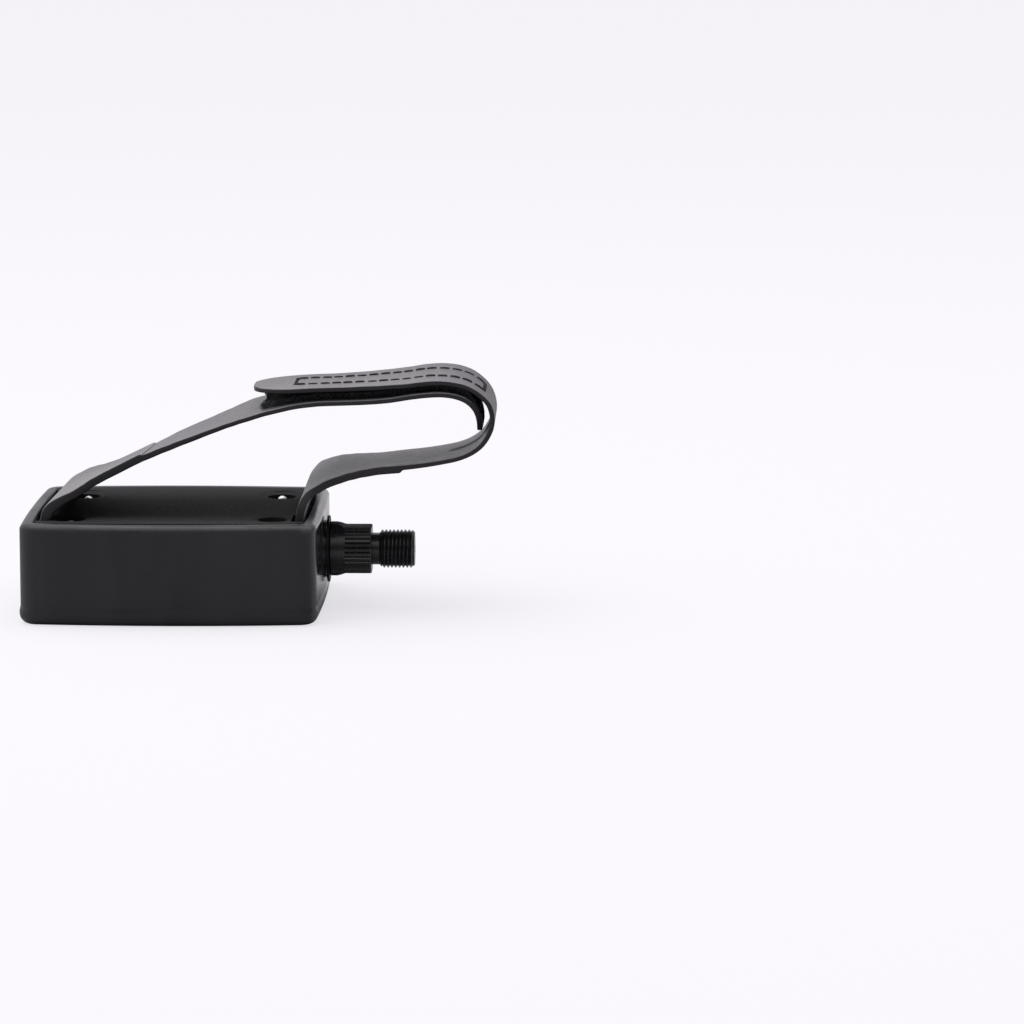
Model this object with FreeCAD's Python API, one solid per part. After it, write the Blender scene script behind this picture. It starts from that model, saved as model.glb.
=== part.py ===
import FreeCAD, Part
import math
import os

from FreeCAD import Vector

# Exercise bike pedal with a two-part foot strap, in millimetres.
# Frame: +X along the spindle towards the crank, +Y across the tread, +Z up.
# The origin is the middle of the underside that rests on the floor.

# Outer shell
body_width = 97.6
body_depth = 90.0
body_height = 33.0
wall = 4.2
floor_thickness = 2.5
side_bow = 3.0
end_bow = 0.8
corner_radius = 6.0
top_round = 2.2
bottom_round = 3.5
rim_inner_round = 0.7
skirt_height = 4.3
skirt_slope = 1.7
skirt_step = 0.35
spindle_boss_diameter = 19.0
spindle_boss_length = 0.55

# Tread plate
tread_edge_thickness = 3.6
tread_dish = 1.0
tread_gap = 0.45
tread_rib = 2.2
tread_rib_drop = 6.0
tread_rib_spacing = 28.0
tread_rib_root = 0.9
barrel_diameter = 23.0
barrel_end_gap = 0.4
barrel_web = 10.0

# Screws that hold the tread plate down
screw_end_inset = 15.8
screw_side_inset = 20.5
screw_well_diameter = 9.6
screw_well_wall = 1.2
screw_well_depth = 7.4
screw_seat = 2.0
screw_lip_width = 2.5
screw_lip_depth = 0.35
screw_head_diameter = 7.6
screw_head_height = 2.8
screw_head_round = 1.7
screw_shank_diameter = 3.9
screw_length = 15.0
screw_recess_width = 1.1
screw_recess_span = 4.4
screw_recess_depth = 1.5
screw_hole_clearance = 0.2
pilot_clearance = 0.05
post_diameter = 8.4
post_rib = 2.0

# Spindle and its bearings
spindle_height = 18.65
thread_diameter = 12.7
thread_length = 11.7
thread_chamfer = 0.9
neck_diameter = 10.6
neck_length = 2.5
collar_diameter = 18.0
collar_length = 13.9
collar_chamfer = 0.5
flat_size = 15.0
flat_length = 8.7
flat_runout = 3.2
serration_pitch = 1.6
serration_depth = 0.45
shaft_diameter = 13.0
shaft_clearance = 0.5
adjuster_diameter = 8.0
adjuster_chamfer = 0.7
keyway_width = 2.0
keyway_depth = 0.9
centre_drill = 3.2
seal_diameter = 22.0
seal_thickness = 0.8
seal_gap = 0.3
ball_diameter = 3.97
ball_count = 10
ball_circle = 13.2
ball_clearance = 0.04
inboard_ball_inset = 12.0
outboard_ball_inset = 20.0
cup_diameter = 19.0
cup_mouth = 2.5
cup_back = 4.5
cup_fit = 0.03
cup_hole_clearance = 1.0
cone_length = 6.0
thread_fit = 0.03
washer_diameter = 13.6
washer_thickness = 1.0
nut_size = 13.0
nut_thickness = 5.0
nut_bevel_angle = 30.0
spindle_tail = 1.6

# End cap that closes the adjuster's opening
cap_spigot_diameter = 18.0
cap_flange_diameter = 21.0
cap_flange_thickness = 1.3
cap_sink = 0.15
cap_clearance = 0.1
cap_wall = 1.4
cap_spigot_length = 3.2

# Straps: an inset is inwards from the body's end, a reach outwards past its crank end
strap_width = 36.0
strap_thickness = 1.6
strap_base_width = 62.0
strap_base_thickness = 2.7
strap_clearance = 0.3
strap_slot_gap = 1.5
strap_tab_inner = 31.0
strap_tab_end_gap = 1.0
tab_head_side = 2.2
tab_head_height = 5.0
ledge_rib = 2.0
tip_corner_radius = 15.5
outer_step_inset = 37.5
inner_step_reach = 25.2
outer_flare_inset = 38.0
inner_flare_reach = 8.0
tail_slot_width = 4.5
tail_slot_length = 7.0
tail_slot_from_tip = 3.5
recess_width = 8.8
recess_length = 24.0
recess_depth = 0.5

# Hook and loop patches
patch_width = 25.0
patch_corner = 2.0
loop_thickness = 1.9
hook_thickness = 1.3
patch_gap = 0.1
loop_start_inset = 17.8
loop_end_reach = 47.2
hook_start_inset = 10.8
hook_end_reach = 52.7

# Where the straps run: a rise is above the rim
outer_lean_inset = 13.3
outer_lean_rise = 3.9
outer_crest_inset = 18.5
outer_crest_rise = 34.8
outer_dip_reach = 17.2
outer_dip_rise = 36.1
tail_reach = 51.0
tail_top_rise = 39.9
tail_tip_rise = 26.5
root_radius = 8.0
outer_lean_radius = 25.0
outer_crest_radius = 100.0
outer_dip_radius = 150.0
tail_radius = 11.5
inner_lean_inset = 5.8
inner_lean_rise = 12.9
turn_reach = 55.5
turn_low_rise = 19.5
inner_lean_radius = 14.0
turn_low_radius = 13.6
turn_high_radius = 11.4
flap_level_reach = 39.0
flap_bend_inset = 2.0
flap_tip_inset = 23.8
flap_bend_radius = 110.0
flap_tip_slope = 0.085
largest_arc_share = 0.98

# Sizes that follow from the driving dimensions
half_width = body_width / 2
half_depth = body_depth / 2
tread_top = body_height
tread_bottom = tread_top - tread_edge_thickness
tread_half_x = half_width - wall - tread_gap
tread_half_y = half_depth - wall - tread_gap
well_floor = tread_top - screw_well_depth
post_top = well_floor - screw_seat
barrel_half = half_width - wall - barrel_end_gap
boss_face = half_width + spindle_boss_length
collar_start = boss_face + seal_gap + seal_thickness
collar_end = collar_start + collar_length
thread_start = collar_end + neck_length
spindle_tip = thread_start + thread_length
inboard_ball_x = half_width - inboard_ball_inset
outboard_ball_x = outboard_ball_inset - half_width
ball_radius = ball_diameter / 2
race_radius = ball_radius + ball_clearance
core_radius = ball_circle / 2 - race_radius
cone_back = outboard_ball_x - cone_length
washer_back = cone_back - washer_thickness
nut_back = washer_back - nut_thickness
spindle_end = nut_back - spindle_tail
strap_inner_x = half_width - wall - strap_clearance - strap_base_thickness - end_bow
tab_inner = strap_tab_inner / 2
tab_outer = strap_base_width / 2
tab_head_top = tread_bottom - strap_clearance
tab_head_bottom = tab_head_top - tab_head_height
tab_head_inner = tab_inner - tab_head_side
tab_head_outer = tab_outer + tab_head_side
ledge_top = tab_head_bottom - strap_clearance
outer_step_x = outer_step_inset - half_width
outer_flare_x = outer_flare_inset - half_width
inner_step_x = half_width + inner_step_reach
inner_flare_x = half_width + inner_flare_reach
tail_x = half_width + tail_reach
turn_x = half_width + turn_reach
flap_bend_x = half_width - flap_bend_inset
flap_tip_x = half_width - flap_tip_inset
above_straps = 4 * body_height
between_straps = body_height + (turn_low_rise + outer_crest_rise) / 2

axis_x = Vector(1, 0, 0)
axis_y = Vector(0, 1, 0)
axis_z = Vector(0, 0, 1)
screw_places = [
    (side_x * (half_width - screw_end_inset), side_y * (half_depth - screw_side_inset))
    for side_x in (-1, 1)
    for side_y in (-1, 1)
]


def box(x_low, x_high, y_low, y_high, z_low, z_high):
    corner = Vector(x_low, y_low, z_low)
    return Part.makeBox(x_high - x_low, y_high - y_low, z_high - z_low, corner)


def rod_x(radius, x_low, x_high, z=spindle_height):
    return Part.makeCylinder(radius, x_high - x_low, Vector(x_low, 0, z), axis_x)


def post(radius, x, y, z_low, z_high):
    return Part.makeCylinder(radius, z_high - z_low, Vector(x, y, z_low), axis_z)


def turned(profile, z=spindle_height):
    # Solid turned about the spindle's axis from edges or (x, radius) points
    if isinstance(profile[0], tuple):
        points = [Vector(x, 0, radius) for x, radius in profile]
        wire = Part.makePolygon(points + points[:1])
    else:
        wire = Part.Wire(profile)
    solid = Part.Face(wire).revolve(Vector(0, 0, 0), axis_x, 360)
    return solid.translated(Vector(0, 0, z))


def line(start, end):
    return Part.LineSegment(start, end).toShape()


def arc(start, middle, end):
    return Part.Arc(start, middle, end).toShape()


def bowed_prism(half_x, half_y, radius, z_low, z_high):
    # Block whose four sides bulge, with rounded upright corners
    corner_x = half_x - end_bow
    corner_y = half_y - side_bow
    corners = [
        Vector(-corner_x, -corner_y, z_low),
        Vector(corner_x, -corner_y, z_low),
        Vector(corner_x, corner_y, z_low),
        Vector(-corner_x, corner_y, z_low),
    ]
    crowns = [
        Vector(0, -half_y, z_low),
        Vector(half_x, 0, z_low),
        Vector(0, half_y, z_low),
        Vector(-half_x, 0, z_low),
    ]
    sides = [arc(corners[i], crowns[i], corners[(i + 1) % 4]) for i in range(4)]
    prism = Part.Face(Part.Wire(sides)).extrude(Vector(0, 0, z_high - z_low))
    upright = [edge for edge in prism.Edges if abs(edge.tangentAt(edge.FirstParameter).z) > 0.9]
    return prism.makeFillet(radius, upright)


def level_edges(shape, z):
    return [edge for edge in shape.Edges if all(abs(v.Z - z) < 1e-6 for v in edge.Vertexes)]


def level_outline(shape, z):
    face = next(face for face in shape.Faces if all(abs(v.Z - z) < 1e-6 for v in face.Vertexes))
    return face.OuterWire


def body_shell():
    # Moulded tub: bowed walls, skirt that swells out of them, floor, posts and strap ledges
    wall_foot = skirt_height + skirt_slope
    upper = bowed_prism(half_width, half_depth, corner_radius, wall_foot, body_height)
    skirt = bowed_prism(
        half_width + skirt_step, half_depth + skirt_step, corner_radius + skirt_step, 0, skirt_height
    )
    slope = Part.makeLoft([level_outline(skirt, skirt_height), level_outline(upper, wall_foot)], True, True)
    upper = upper.makeFillet(top_round, level_edges(upper, body_height))
    skirt = skirt.makeFillet(bottom_round, level_edges(skirt, 0))
    shell = upper.fuse([slope, skirt])
    cavity = bowed_prism(
        half_width - wall, half_depth - wall, corner_radius / 2, floor_thickness, body_height + 1
    )
    shell = shell.cut(cavity)
    inner_rim = [
        edge
        for edge in level_edges(shell, body_height)
        if cavity.distToShape(edge)[0] < 1e-6
    ]
    shell = shell.makeFillet(rim_inner_round, inner_rim)

    posts = []
    for x, y in screw_places:
        posts.append(post(post_diameter / 2, x, y, floor_thickness / 2, post_top))
        wall_y = math.copysign(half_depth - side_bow - wall / 2, y)
        posts.append(
            box(
                x - post_rib / 2, x + post_rib / 2,
                min(y, wall_y), max(y, wall_y),
                floor_thickness / 2, post_top - screw_seat,
            )
        )
    tab_middle = (tab_inner + tab_outer) / 2
    rib_offset = (tab_outer - tab_inner) / 4
    ledge_inner = strap_inner_x - strap_clearance
    ledge_outer = half_width - wall / 2
    for side_x in (-1, 1):
        for y in (tab_middle - rib_offset, tab_middle + rib_offset):
            for side_y in (-1, 1):
                low, high = sorted((side_x * ledge_inner, side_x * ledge_outer))
                middle = side_y * y
                posts.append(
                    box(
                        low, high, middle - ledge_rib / 2, middle + ledge_rib / 2,
                        floor_thickness / 2, ledge_top,
                    )
                )
    boss = rod_x(spindle_boss_diameter / 2, half_width - wall / 2, boss_face)
    shell = shell.fuse(posts + [boss]).removeSplitter()

    holes = [rod_x(shaft_diameter / 2 + shaft_clearance, 0, boss_face + 1)]
    holes.append(rod_x(cap_spigot_diameter / 2, -half_width - 1, 0))
    cap_floor = -half_width + cap_sink + cap_flange_thickness
    holes.append(rod_x(cap_flange_diameter / 2 + cap_clearance, -half_width - 1, cap_floor))
    for x, y in screw_places:
        radius = screw_shank_diameter / 2 + pilot_clearance
        holes.append(post(radius, x, y, well_floor - screw_length - screw_seat, post_top + 1))
    return shell.cut(holes)


def strap_slots():
    # Openings at the tread's ends that the strap tabs pass down through
    slots = []
    inner = strap_inner_x - strap_slot_gap
    for side_x in (-1, 1):
        low, high = sorted((side_x * inner, side_x * half_width))
        for side_y in (-1, 1):
            near = tab_inner - strap_clearance
            far = tab_outer + strap_tab_end_gap
            front, back = sorted((side_y * near, side_y * far))
            slots.append(box(low, high, front, back, 0, body_height + 1))
    return slots


def tread_plate():
    # Dished tread with the bearing barrel, ribs and screw wells under it
    plate = bowed_prism(
        tread_half_x, tread_half_y, corner_radius / 2, tread_bottom, tread_top
    )
    dish_half = tread_half_y - side_bow
    dish_radius = (dish_half ** 2 + tread_dish ** 2) / (2 * tread_dish)
    dish = rod_x(dish_radius, -body_width, body_width, tread_top - tread_dish + dish_radius)
    plate = plate.cut(dish)

    solids = [rod_x(barrel_diameter / 2, -barrel_half, barrel_half)]
    solids.append(
        box(
            -barrel_half, barrel_half, -barrel_web / 2, barrel_web / 2,
            spindle_height, tread_bottom + tread_rib_root,
        )
    )
    rib_low = tread_bottom - tread_rib_drop
    rib_high = tread_bottom + tread_rib_root
    rib_reach = tread_half_y - side_bow - screw_well_wall
    for side in (-1, 1):
        x = side * tread_rib_spacing / 2
        solids.append(
            box(x - tread_rib / 2, x + tread_rib / 2, -rib_reach, rib_reach, rib_low, rib_high)
        )
    for x, y in screw_places:
        solids.append(post(screw_well_diameter / 2 + screw_well_wall, x, y, post_top, rib_high))
    plate = plate.fuse(solids).removeSplitter()

    cuts = strap_slots()
    well_radius = screw_well_diameter / 2
    for x, y in screw_places:
        surface = tread_top - tread_dish * (1 - (y / dish_half) ** 2)
        cuts.append(post(well_radius, x, y, well_floor, tread_top + 1))
        cuts.append(post(screw_shank_diameter / 2 + screw_hole_clearance, x, y, 0, tread_top))
        cuts.append(
            Part.makeCone(
                well_radius, well_radius + 2 * screw_lip_width, 2 * screw_lip_depth,
                Vector(x, y, surface - screw_lip_depth), axis_z,
            )
        )
    bore = ball_circle / 2 + ball_clearance
    cuts.append(rod_x(bore, -body_width, body_width))
    seat = cup_diameter / 2 + cup_fit
    cuts.append(rod_x(seat, inboard_ball_x - cup_back, body_width))
    cuts.append(rod_x(seat, -body_width, outboard_ball_x + cup_back))
    return plate.cut(cuts)


def deck_screws():
    # Pan-head screws with a cross recess, one in each well
    screws = []
    head_radius = screw_head_diameter / 2
    shank_radius = screw_shank_diameter / 2
    for x, y in screw_places:
        crown = well_floor + screw_head_height
        head = post(head_radius, x, y, well_floor, crown)
        head = head.makeFillet(screw_head_round, level_edges(head, crown))
        shank = post(shank_radius, x, y, well_floor - screw_length, well_floor)
        shank = shank.makeChamfer(shank_radius / 2, level_edges(shank, well_floor - screw_length))
        screw = head.fuse(shank).removeSplitter()
        half_span = screw_recess_span / 2
        half_slot = screw_recess_width / 2
        recess_floor = crown - screw_recess_depth
        slots = [
            box(x - half_span, x + half_span, y - half_slot, y + half_slot, recess_floor, crown + 1),
            box(x - half_slot, x + half_slot, y - half_span, y + half_span, recess_floor, crown + 1),
        ]
        screws.append(screw.cut(slots))
    return Part.makeCompound(screws)


def race_arc(ball_x, outward, side):
    # Quarter of the ball's track, from its radial point to its end-on point
    centre = ball_circle / 2
    diagonal = race_radius / math.sqrt(2)
    radial = Vector(ball_x, 0, centre + outward * race_radius)
    middle = Vector(ball_x + side * diagonal, 0, centre + outward * diagonal)
    end_on = Vector(ball_x + side * race_radius, 0, centre)
    return radial, arc(radial, middle, end_on), end_on


def chain(points):
    return [line(points[i], points[i + 1]) for i in range(len(points) - 1)]


def at(x, radius):
    return Vector(x, 0, radius)


def spindle():
    # Turned spindle: thread, neck, flatted collar, shaft, race, core, adjuster end
    shaft = shaft_diameter / 2
    radial, track, end_on = race_arc(inboard_ball_x, -1, 1)
    thread = thread_diameter / 2
    collar = collar_diameter / 2
    neck = neck_diameter / 2
    adjuster = adjuster_diameter / 2
    drill = centre_drill / 2
    core_end = outboard_ball_x + ball_clearance
    outer = [
        end_on,
        at(end_on.x, shaft),
        at(collar_start, shaft),
        at(collar_start, collar - collar_chamfer),
        at(collar_start + collar_chamfer, collar),
        at(collar_end - collar_chamfer, collar),
        at(collar_end, collar - collar_chamfer),
        at(collar_end, neck),
        at(thread_start, neck),
        at(thread_start + thread_chamfer, thread),
        at(spindle_tip - thread_chamfer, thread),
        at(spindle_tip, thread - thread_chamfer),
        at(spindle_tip, drill),
        at(spindle_tip - drill, 0),
        at(spindle_end, 0),
        at(spindle_end, adjuster - adjuster_chamfer),
        at(spindle_end + adjuster_chamfer, adjuster),
        at(core_end, adjuster),
        at(core_end, core_radius),
        radial,
    ]
    solid = turned([track] + chain(outer))

    reach = collar_diameter
    flat = flat_size / 2
    flat_start = collar_end - flat_length
    slope_start = flat_start - flat_runout
    cuts = []
    for side in (-1, 1):
        profile = [
            Vector(slope_start, -reach, spindle_height + side * collar),
            Vector(flat_start, -reach, spindle_height + side * flat),
            Vector(collar_end + neck_length / 2, -reach, spindle_height + side * flat),
            Vector(collar_end + neck_length / 2, -reach, spindle_height + side * reach),
            Vector(slope_start, -reach, spindle_height + side * reach),
        ]
        face = Part.Face(Part.makePolygon(profile + profile[:1]))
        cuts.append(face.extrude(Vector(0, 2 * reach, 0)))
    round_half_angle = math.asin(flat / collar)
    step = serration_pitch / collar
    count = int(round_half_angle / step)
    groove = [
        Vector(flat_start, collar - serration_depth, 0),
        Vector(flat_start, collar + serration_depth, -2 * serration_depth),
        Vector(flat_start, collar + serration_depth, 2 * serration_depth),
    ]
    groove = Part.Face(Part.makePolygon(groove + groove[:1]))
    groove = groove.extrude(Vector(flat_length + neck_length / 2, 0, 0))
    for side in (0, 180):
        for i in range(-count, count + 1):
            cutter = groove.copy()
            cutter.rotate(Vector(0, 0, 0), axis_x, side + math.degrees(i * step))
            cuts.append(cutter.translated(Vector(0, 0, spindle_height)))
    keyway_top = spindle_height + adjuster
    cuts.append(
        box(
            spindle_end - 1, cone_back + keyway_depth, -keyway_width / 2, keyway_width / 2,
            keyway_top - keyway_depth, keyway_top + 1,
        )
    )
    return solid.cut(cuts)


def dust_seal():
    # Thin disc behind the collar that covers the shaft's opening
    bore = shaft_diameter / 2 + thread_fit
    disc = rod_x(seal_diameter / 2, collar_start - seal_thickness, collar_start)
    return disc.cut(rod_x(bore, 0, spindle_tip))


def ball_cup(ball_x, side):
    # Pressed cup whose mouth faces the end of the barrel on the given side
    radial, track, end_on = race_arc(ball_x, 1, -side)
    mouth_x = ball_x + side * cup_mouth
    back_x = ball_x - side * cup_back
    hole = core_radius + cup_hole_clearance
    outer = [
        end_on,
        at(end_on.x, hole),
        at(back_x, hole),
        at(back_x, cup_diameter / 2),
        at(mouth_x, cup_diameter / 2),
        at(mouth_x, radial.z),
        radial,
    ]
    return turned([track] + chain(outer))


def ball_set(ball_x):
    balls = []
    for i in range(ball_count):
        angle = 2 * math.pi * i / ball_count
        y = ball_circle / 2 * math.sin(angle)
        z = spindle_height + ball_circle / 2 * math.cos(angle)
        balls.append(Part.makeSphere(ball_radius, Vector(ball_x, y, z)))
    return Part.makeCompound(balls)


def adjusting_cone():
    # Threaded cone that sets the play of the outboard balls
    radial, track, end_on = race_arc(outboard_ball_x, -1, -1)
    bore = adjuster_diameter / 2 + thread_fit
    shoulder = shaft_diameter / 2
    outer = [
        end_on,
        at(end_on.x, shoulder),
        at(cone_back, shoulder),
        at(cone_back, bore),
        at(radial.x, bore),
        radial,
    ]
    return turned([track] + chain(outer))


def lock_washer():
    # Keyed washer: its tab rides in the spindle's keyway
    bore = adjuster_diameter / 2 + thread_fit
    disc = rod_x(washer_diameter / 2, washer_back, cone_back)
    disc = disc.cut(rod_x(bore, washer_back - 1, cone_back + 1))
    tab_half = keyway_width / 2 - thread_fit
    tab_low = spindle_height + adjuster_diameter / 2 - keyway_depth + thread_fit
    tab_high = spindle_height + washer_diameter / 2 - thread_fit
    tab = box(washer_back, cone_back, -tab_half, tab_half, tab_low, tab_high)
    return disc.fuse(tab.common(rod_x(washer_diameter / 2, washer_back, cone_back))).removeSplitter()


def lock_nut():
    # Hexagon nut with its corners turned off at both faces
    corner = nut_size / math.sqrt(3)
    points = []
    for i in range(6):
        angle = math.radians(60 * i)
        y = corner * math.cos(angle)
        z = spindle_height + corner * math.sin(angle)
        points.append(Vector(nut_back, y, z))
    nut = Part.Face(Part.makePolygon(points + points[:1])).extrude(Vector(nut_thickness, 0, 0))
    bevel = (corner - nut_size / 2) * math.tan(math.radians(nut_bevel_angle))
    barrel = turned([
        (nut_back, 0),
        (nut_back, nut_size / 2),
        (nut_back + bevel, corner),
        (washer_back - bevel, corner),
        (washer_back, nut_size / 2),
        (washer_back, 0),
    ])
    bore = rod_x(adjuster_diameter / 2 + thread_fit, nut_back - 1, washer_back + 1)
    return nut.common(barrel).cut(bore)


def end_cap():
    # Push-in cap: flange sunk in the outboard wall, hollow spigot
    outer_x = -half_width + cap_sink
    seat_x = outer_x + cap_flange_thickness
    spigot = cap_spigot_diameter / 2 - cap_clearance
    flange = cap_flange_diameter / 2
    inner_x = seat_x + cap_spigot_length
    return turned([
        (outer_x, 0),
        (outer_x, flange - cap_flange_thickness / 3),
        (outer_x + cap_flange_thickness / 3, flange),
        (seat_x, flange),
        (seat_x, spigot),
        (inner_x, spigot),
        (inner_x, spigot - cap_wall),
        (seat_x, spigot - cap_wall),
        (seat_x, 0),
    ])


def run_direction(start, end):
    length = math.hypot(end[0] - start[0], end[1] - start[1])
    return (end[0] - start[0]) / length, (end[1] - start[1]) / length


def half_turn(before, corner, after):
    into = run_direction(before, corner)
    out = run_direction(corner, after)
    cross = into[0] * out[1] - into[1] * out[0]
    dot = into[0] * out[0] + into[1] * out[1]
    return abs(math.atan2(cross, dot)) / 2


def fitted_path(corners, radii):
    # Arcs that would need more than the run between them are made smaller
    fitted = list(radii)
    turns = [half_turn(*corners[i:i + 3]) for i in range(len(radii))]
    for i in range(len(corners) - 1):
        ends = [k for k in (i - 1, i) if 0 <= k < len(radii)]
        needed = sum(fitted[k] * math.tan(turns[k]) for k in ends)
        run = math.hypot(corners[i + 1][0] - corners[i][0], corners[i + 1][1] - corners[i][1])
        if needed > run * largest_arc_share:
            for k in ends:
                fitted[k] *= run * largest_arc_share / needed
    return corners, fitted


def shifted_path(corners, radii, distance):
    # The same bent line moved sideways, to the left of its travel
    runs = []
    for start, end in zip(corners, corners[1:]):
        dx, dz = run_direction(start, end)
        moved = (start[0] - dz * distance, start[1] + dx * distance)
        runs.append((moved, (dx, dz)))
    last = runs[-1]
    length = math.hypot(corners[-1][0] - corners[-2][0], corners[-1][1] - corners[-2][1])
    new_corners = [runs[0][0]]
    new_radii = []
    for (first, along), (second, turned_to), radius in zip(runs, runs[1:], radii):
        cross = along[0] * turned_to[1] - along[1] * turned_to[0]
        gap = (second[0] - first[0], second[1] - first[1])
        travel = (gap[0] * turned_to[1] - gap[1] * turned_to[0]) / cross
        new_corners.append((first[0] + along[0] * travel, first[1] + along[1] * travel))
        new_radii.append(radius - distance * math.copysign(1, cross))
    new_corners.append((last[0][0] + last[1][0] * length, last[0][1] + last[1][1] * length))
    return new_corners, new_radii


def bent_edges(corners, radii):
    # Straight runs joined by tangent arcs, in the plane of the strap's section
    edges = []
    here = corners[0]
    for i, radius in enumerate(radii):
        corner = corners[i + 1]
        into = run_direction(corners[i], corner)
        out = run_direction(corner, corners[i + 2])
        turn = half_turn(corners[i], corner, corners[i + 2])
        tangent = radius * math.tan(turn)
        start = (corner[0] - into[0] * tangent, corner[1] - into[1] * tangent)
        end = (corner[0] + out[0] * tangent, corner[1] + out[1] * tangent)
        inset = radius / math.cos(turn) - radius
        bisect = run_direction((0, 0), (out[0] - into[0], out[1] - into[1]))
        middle = (corner[0] + bisect[0] * inset, corner[1] + bisect[1] * inset)
        edges.append(line(Vector(here[0], 0, here[1]), Vector(start[0], 0, start[1])))
        edges.append(
            arc(
                Vector(start[0], 0, start[1]),
                Vector(middle[0], 0, middle[1]),
                Vector(end[0], 0, end[1]),
            )
        )
        here = end
    last = corners[-1]
    edges.append(line(Vector(here[0], 0, here[1]), Vector(last[0], 0, last[1])))
    return edges


def strip(path, near, far, width):
    # Bent strip between two sideways shifts of a path, across the tread
    first = shifted_path(*path, near)
    second = shifted_path(*path, far)
    starts = [Vector(p[0][0][0], 0, p[0][0][1]) for p in (first, second)]
    ends = [Vector(p[0][-1][0], 0, p[0][-1][1]) for p in (first, second)]
    edges = bent_edges(*first) + [line(ends[0], ends[1])]
    edges += bent_edges(*second) + [line(starts[1], starts[0])]
    wire = Part.Wire(Part.__sortEdges__(edges))
    solid = Part.Face(wire).extrude(Vector(0, width, 0))
    return solid.translated(Vector(0, -width / 2, 0))


def height_at(path, x):
    # Height of a bent path where it crosses an upright line
    upright = line(Vector(x, 0, 0), Vector(x, 0, above_straps))
    return Part.Wire(bent_edges(*path)).distToShape(upright)[1][0][0].z


def outer_path():
    # Foot side of the strap on the outboard end, from its tabs to its tail
    root_x = -strap_inner_x
    corners = [
        (root_x, tab_head_bottom),
        (root_x, body_height - strap_slot_gap),
        (outer_lean_inset - half_width, body_height + outer_lean_rise),
        (half_width - outer_crest_inset, body_height + outer_crest_rise),
        (half_width + outer_dip_reach, body_height + outer_dip_rise),
        (tail_x, body_height + tail_top_rise),
        (tail_x, body_height + tail_tip_rise),
    ]
    radii = [root_radius, outer_lean_radius, outer_crest_radius, outer_dip_radius, tail_radius]
    return fitted_path(corners, radii)


def inner_path():
    # Foot side of the strap on the crank end, round its turn to the flap's tip
    lower = outer_path()
    stack = strap_thickness + loop_thickness + hook_thickness + patch_gap
    covered = shifted_path(*lower, stack)
    level = Part.Wire(bent_edges(*covered)).BoundBox.ZMax
    bend = height_at(covered, flap_bend_x)
    tip = bend - flap_tip_slope * (flap_bend_x - flap_tip_x)
    corners = [
        (strap_inner_x, tab_head_bottom),
        (strap_inner_x, body_height - strap_slot_gap),
        (half_width - inner_lean_inset, body_height + inner_lean_rise),
        (turn_x, body_height + turn_low_rise),
        (turn_x, level),
        (half_width + flap_level_reach, level),
        (flap_bend_x, bend),
        (flap_tip_x, tip),
    ]
    turns = [root_radius, inner_lean_radius, turn_low_radius, turn_high_radius]
    radii = turns + [flap_bend_radius, flap_bend_radius]
    return fitted_path(corners, radii)


def flared_plan(root_x, flare_x, far_x, z_low, z_high):
    # Plan of a strap: wide at its root, easing to the band's width
    wide = strap_base_width / 2
    narrow = strap_width / 2
    back_x = root_x - math.copysign(strap_base_width, flare_x - root_x)
    ease = (flare_x - root_x) / 2
    sides = []
    for side in (-1, 1):
        curve = Part.BezierCurve()
        curve.setPoles([
            Vector(root_x, side * wide, z_low),
            Vector(root_x + ease * 0.6, side * wide, z_low),
            Vector(flare_x - ease * 1.2, side * narrow, z_low),
            Vector(flare_x, side * narrow, z_low),
        ])
        sides.append([
            line(Vector(back_x, side * wide, z_low), Vector(root_x, side * wide, z_low)),
            curve.toShape(),
            line(Vector(flare_x, side * narrow, z_low), Vector(far_x, side * narrow, z_low)),
        ])
    edges = sides[0] + sides[1]
    edges.append(line(Vector(back_x, -wide, z_low), Vector(back_x, wide, z_low)))
    edges.append(line(Vector(far_x, -narrow, z_low), Vector(far_x, narrow, z_low)))
    wire = Part.Wire(Part.__sortEdges__(edges))
    return Part.Face(wire).extrude(Vector(0, 0, z_high - z_low))


def tip_block(tip_x, far_x, width, radius):
    # Block over the upper strap's place, with its two corners at the tip rounded
    block = box(tip_x, far_x, -width / 2, width / 2, between_straps, above_straps)
    upright = [edge for edge in block.Edges if abs(edge.tangentAt(0).z) > 0.9]
    at_tip = [edge for edge in upright if edge.BoundBox.XMax < (tip_x + far_x) / 2]
    return block.makeFillet(radius, at_tip)


def stadium(length, width, depth):
    # Round-ended block centred on the origin, long way along X
    half = (length - width) / 2
    block = box(-half, half, -width / 2, width / 2, -depth / 2, depth / 2)
    ends = [post(width / 2, side * half, 0, -depth / 2, depth / 2) for side in (-1, 1)]
    return block.fuse(ends).removeSplitter()


def tab_cuts(root_x):
    # Leaves two tabs with wider heads at a strap's root
    outer_x = root_x + math.copysign(strap_base_width, root_x)
    inner_x = root_x - math.copysign(strap_base_thickness, root_x)
    low, high = sorted((inner_x, outer_x))
    dish_half = tread_half_y - side_bow
    foot = tread_top - tread_dish * (1 - (tab_inner / dish_half) ** 2) + strap_clearance
    cuts = [
        box(low, high, -tab_inner, tab_inner, tab_head_top, foot),
        box(low, high, -tab_head_inner, tab_head_inner, 0, tab_head_top + strap_clearance),
    ]
    for side in (-1, 1):
        near, far = sorted((side * tab_outer, side * strap_base_width))
        cuts.append(box(low, high, near, far, tab_head_top, foot))
    return cuts


def tab_heads(path, far):
    # Strip long enough across for the heads under the tread
    heads = strip(path, 0, far, 2 * tab_head_outer)
    limit = box(
        -body_width, body_width, -body_depth, body_depth, 0, tab_head_top
    )
    return heads.common(limit)


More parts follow.
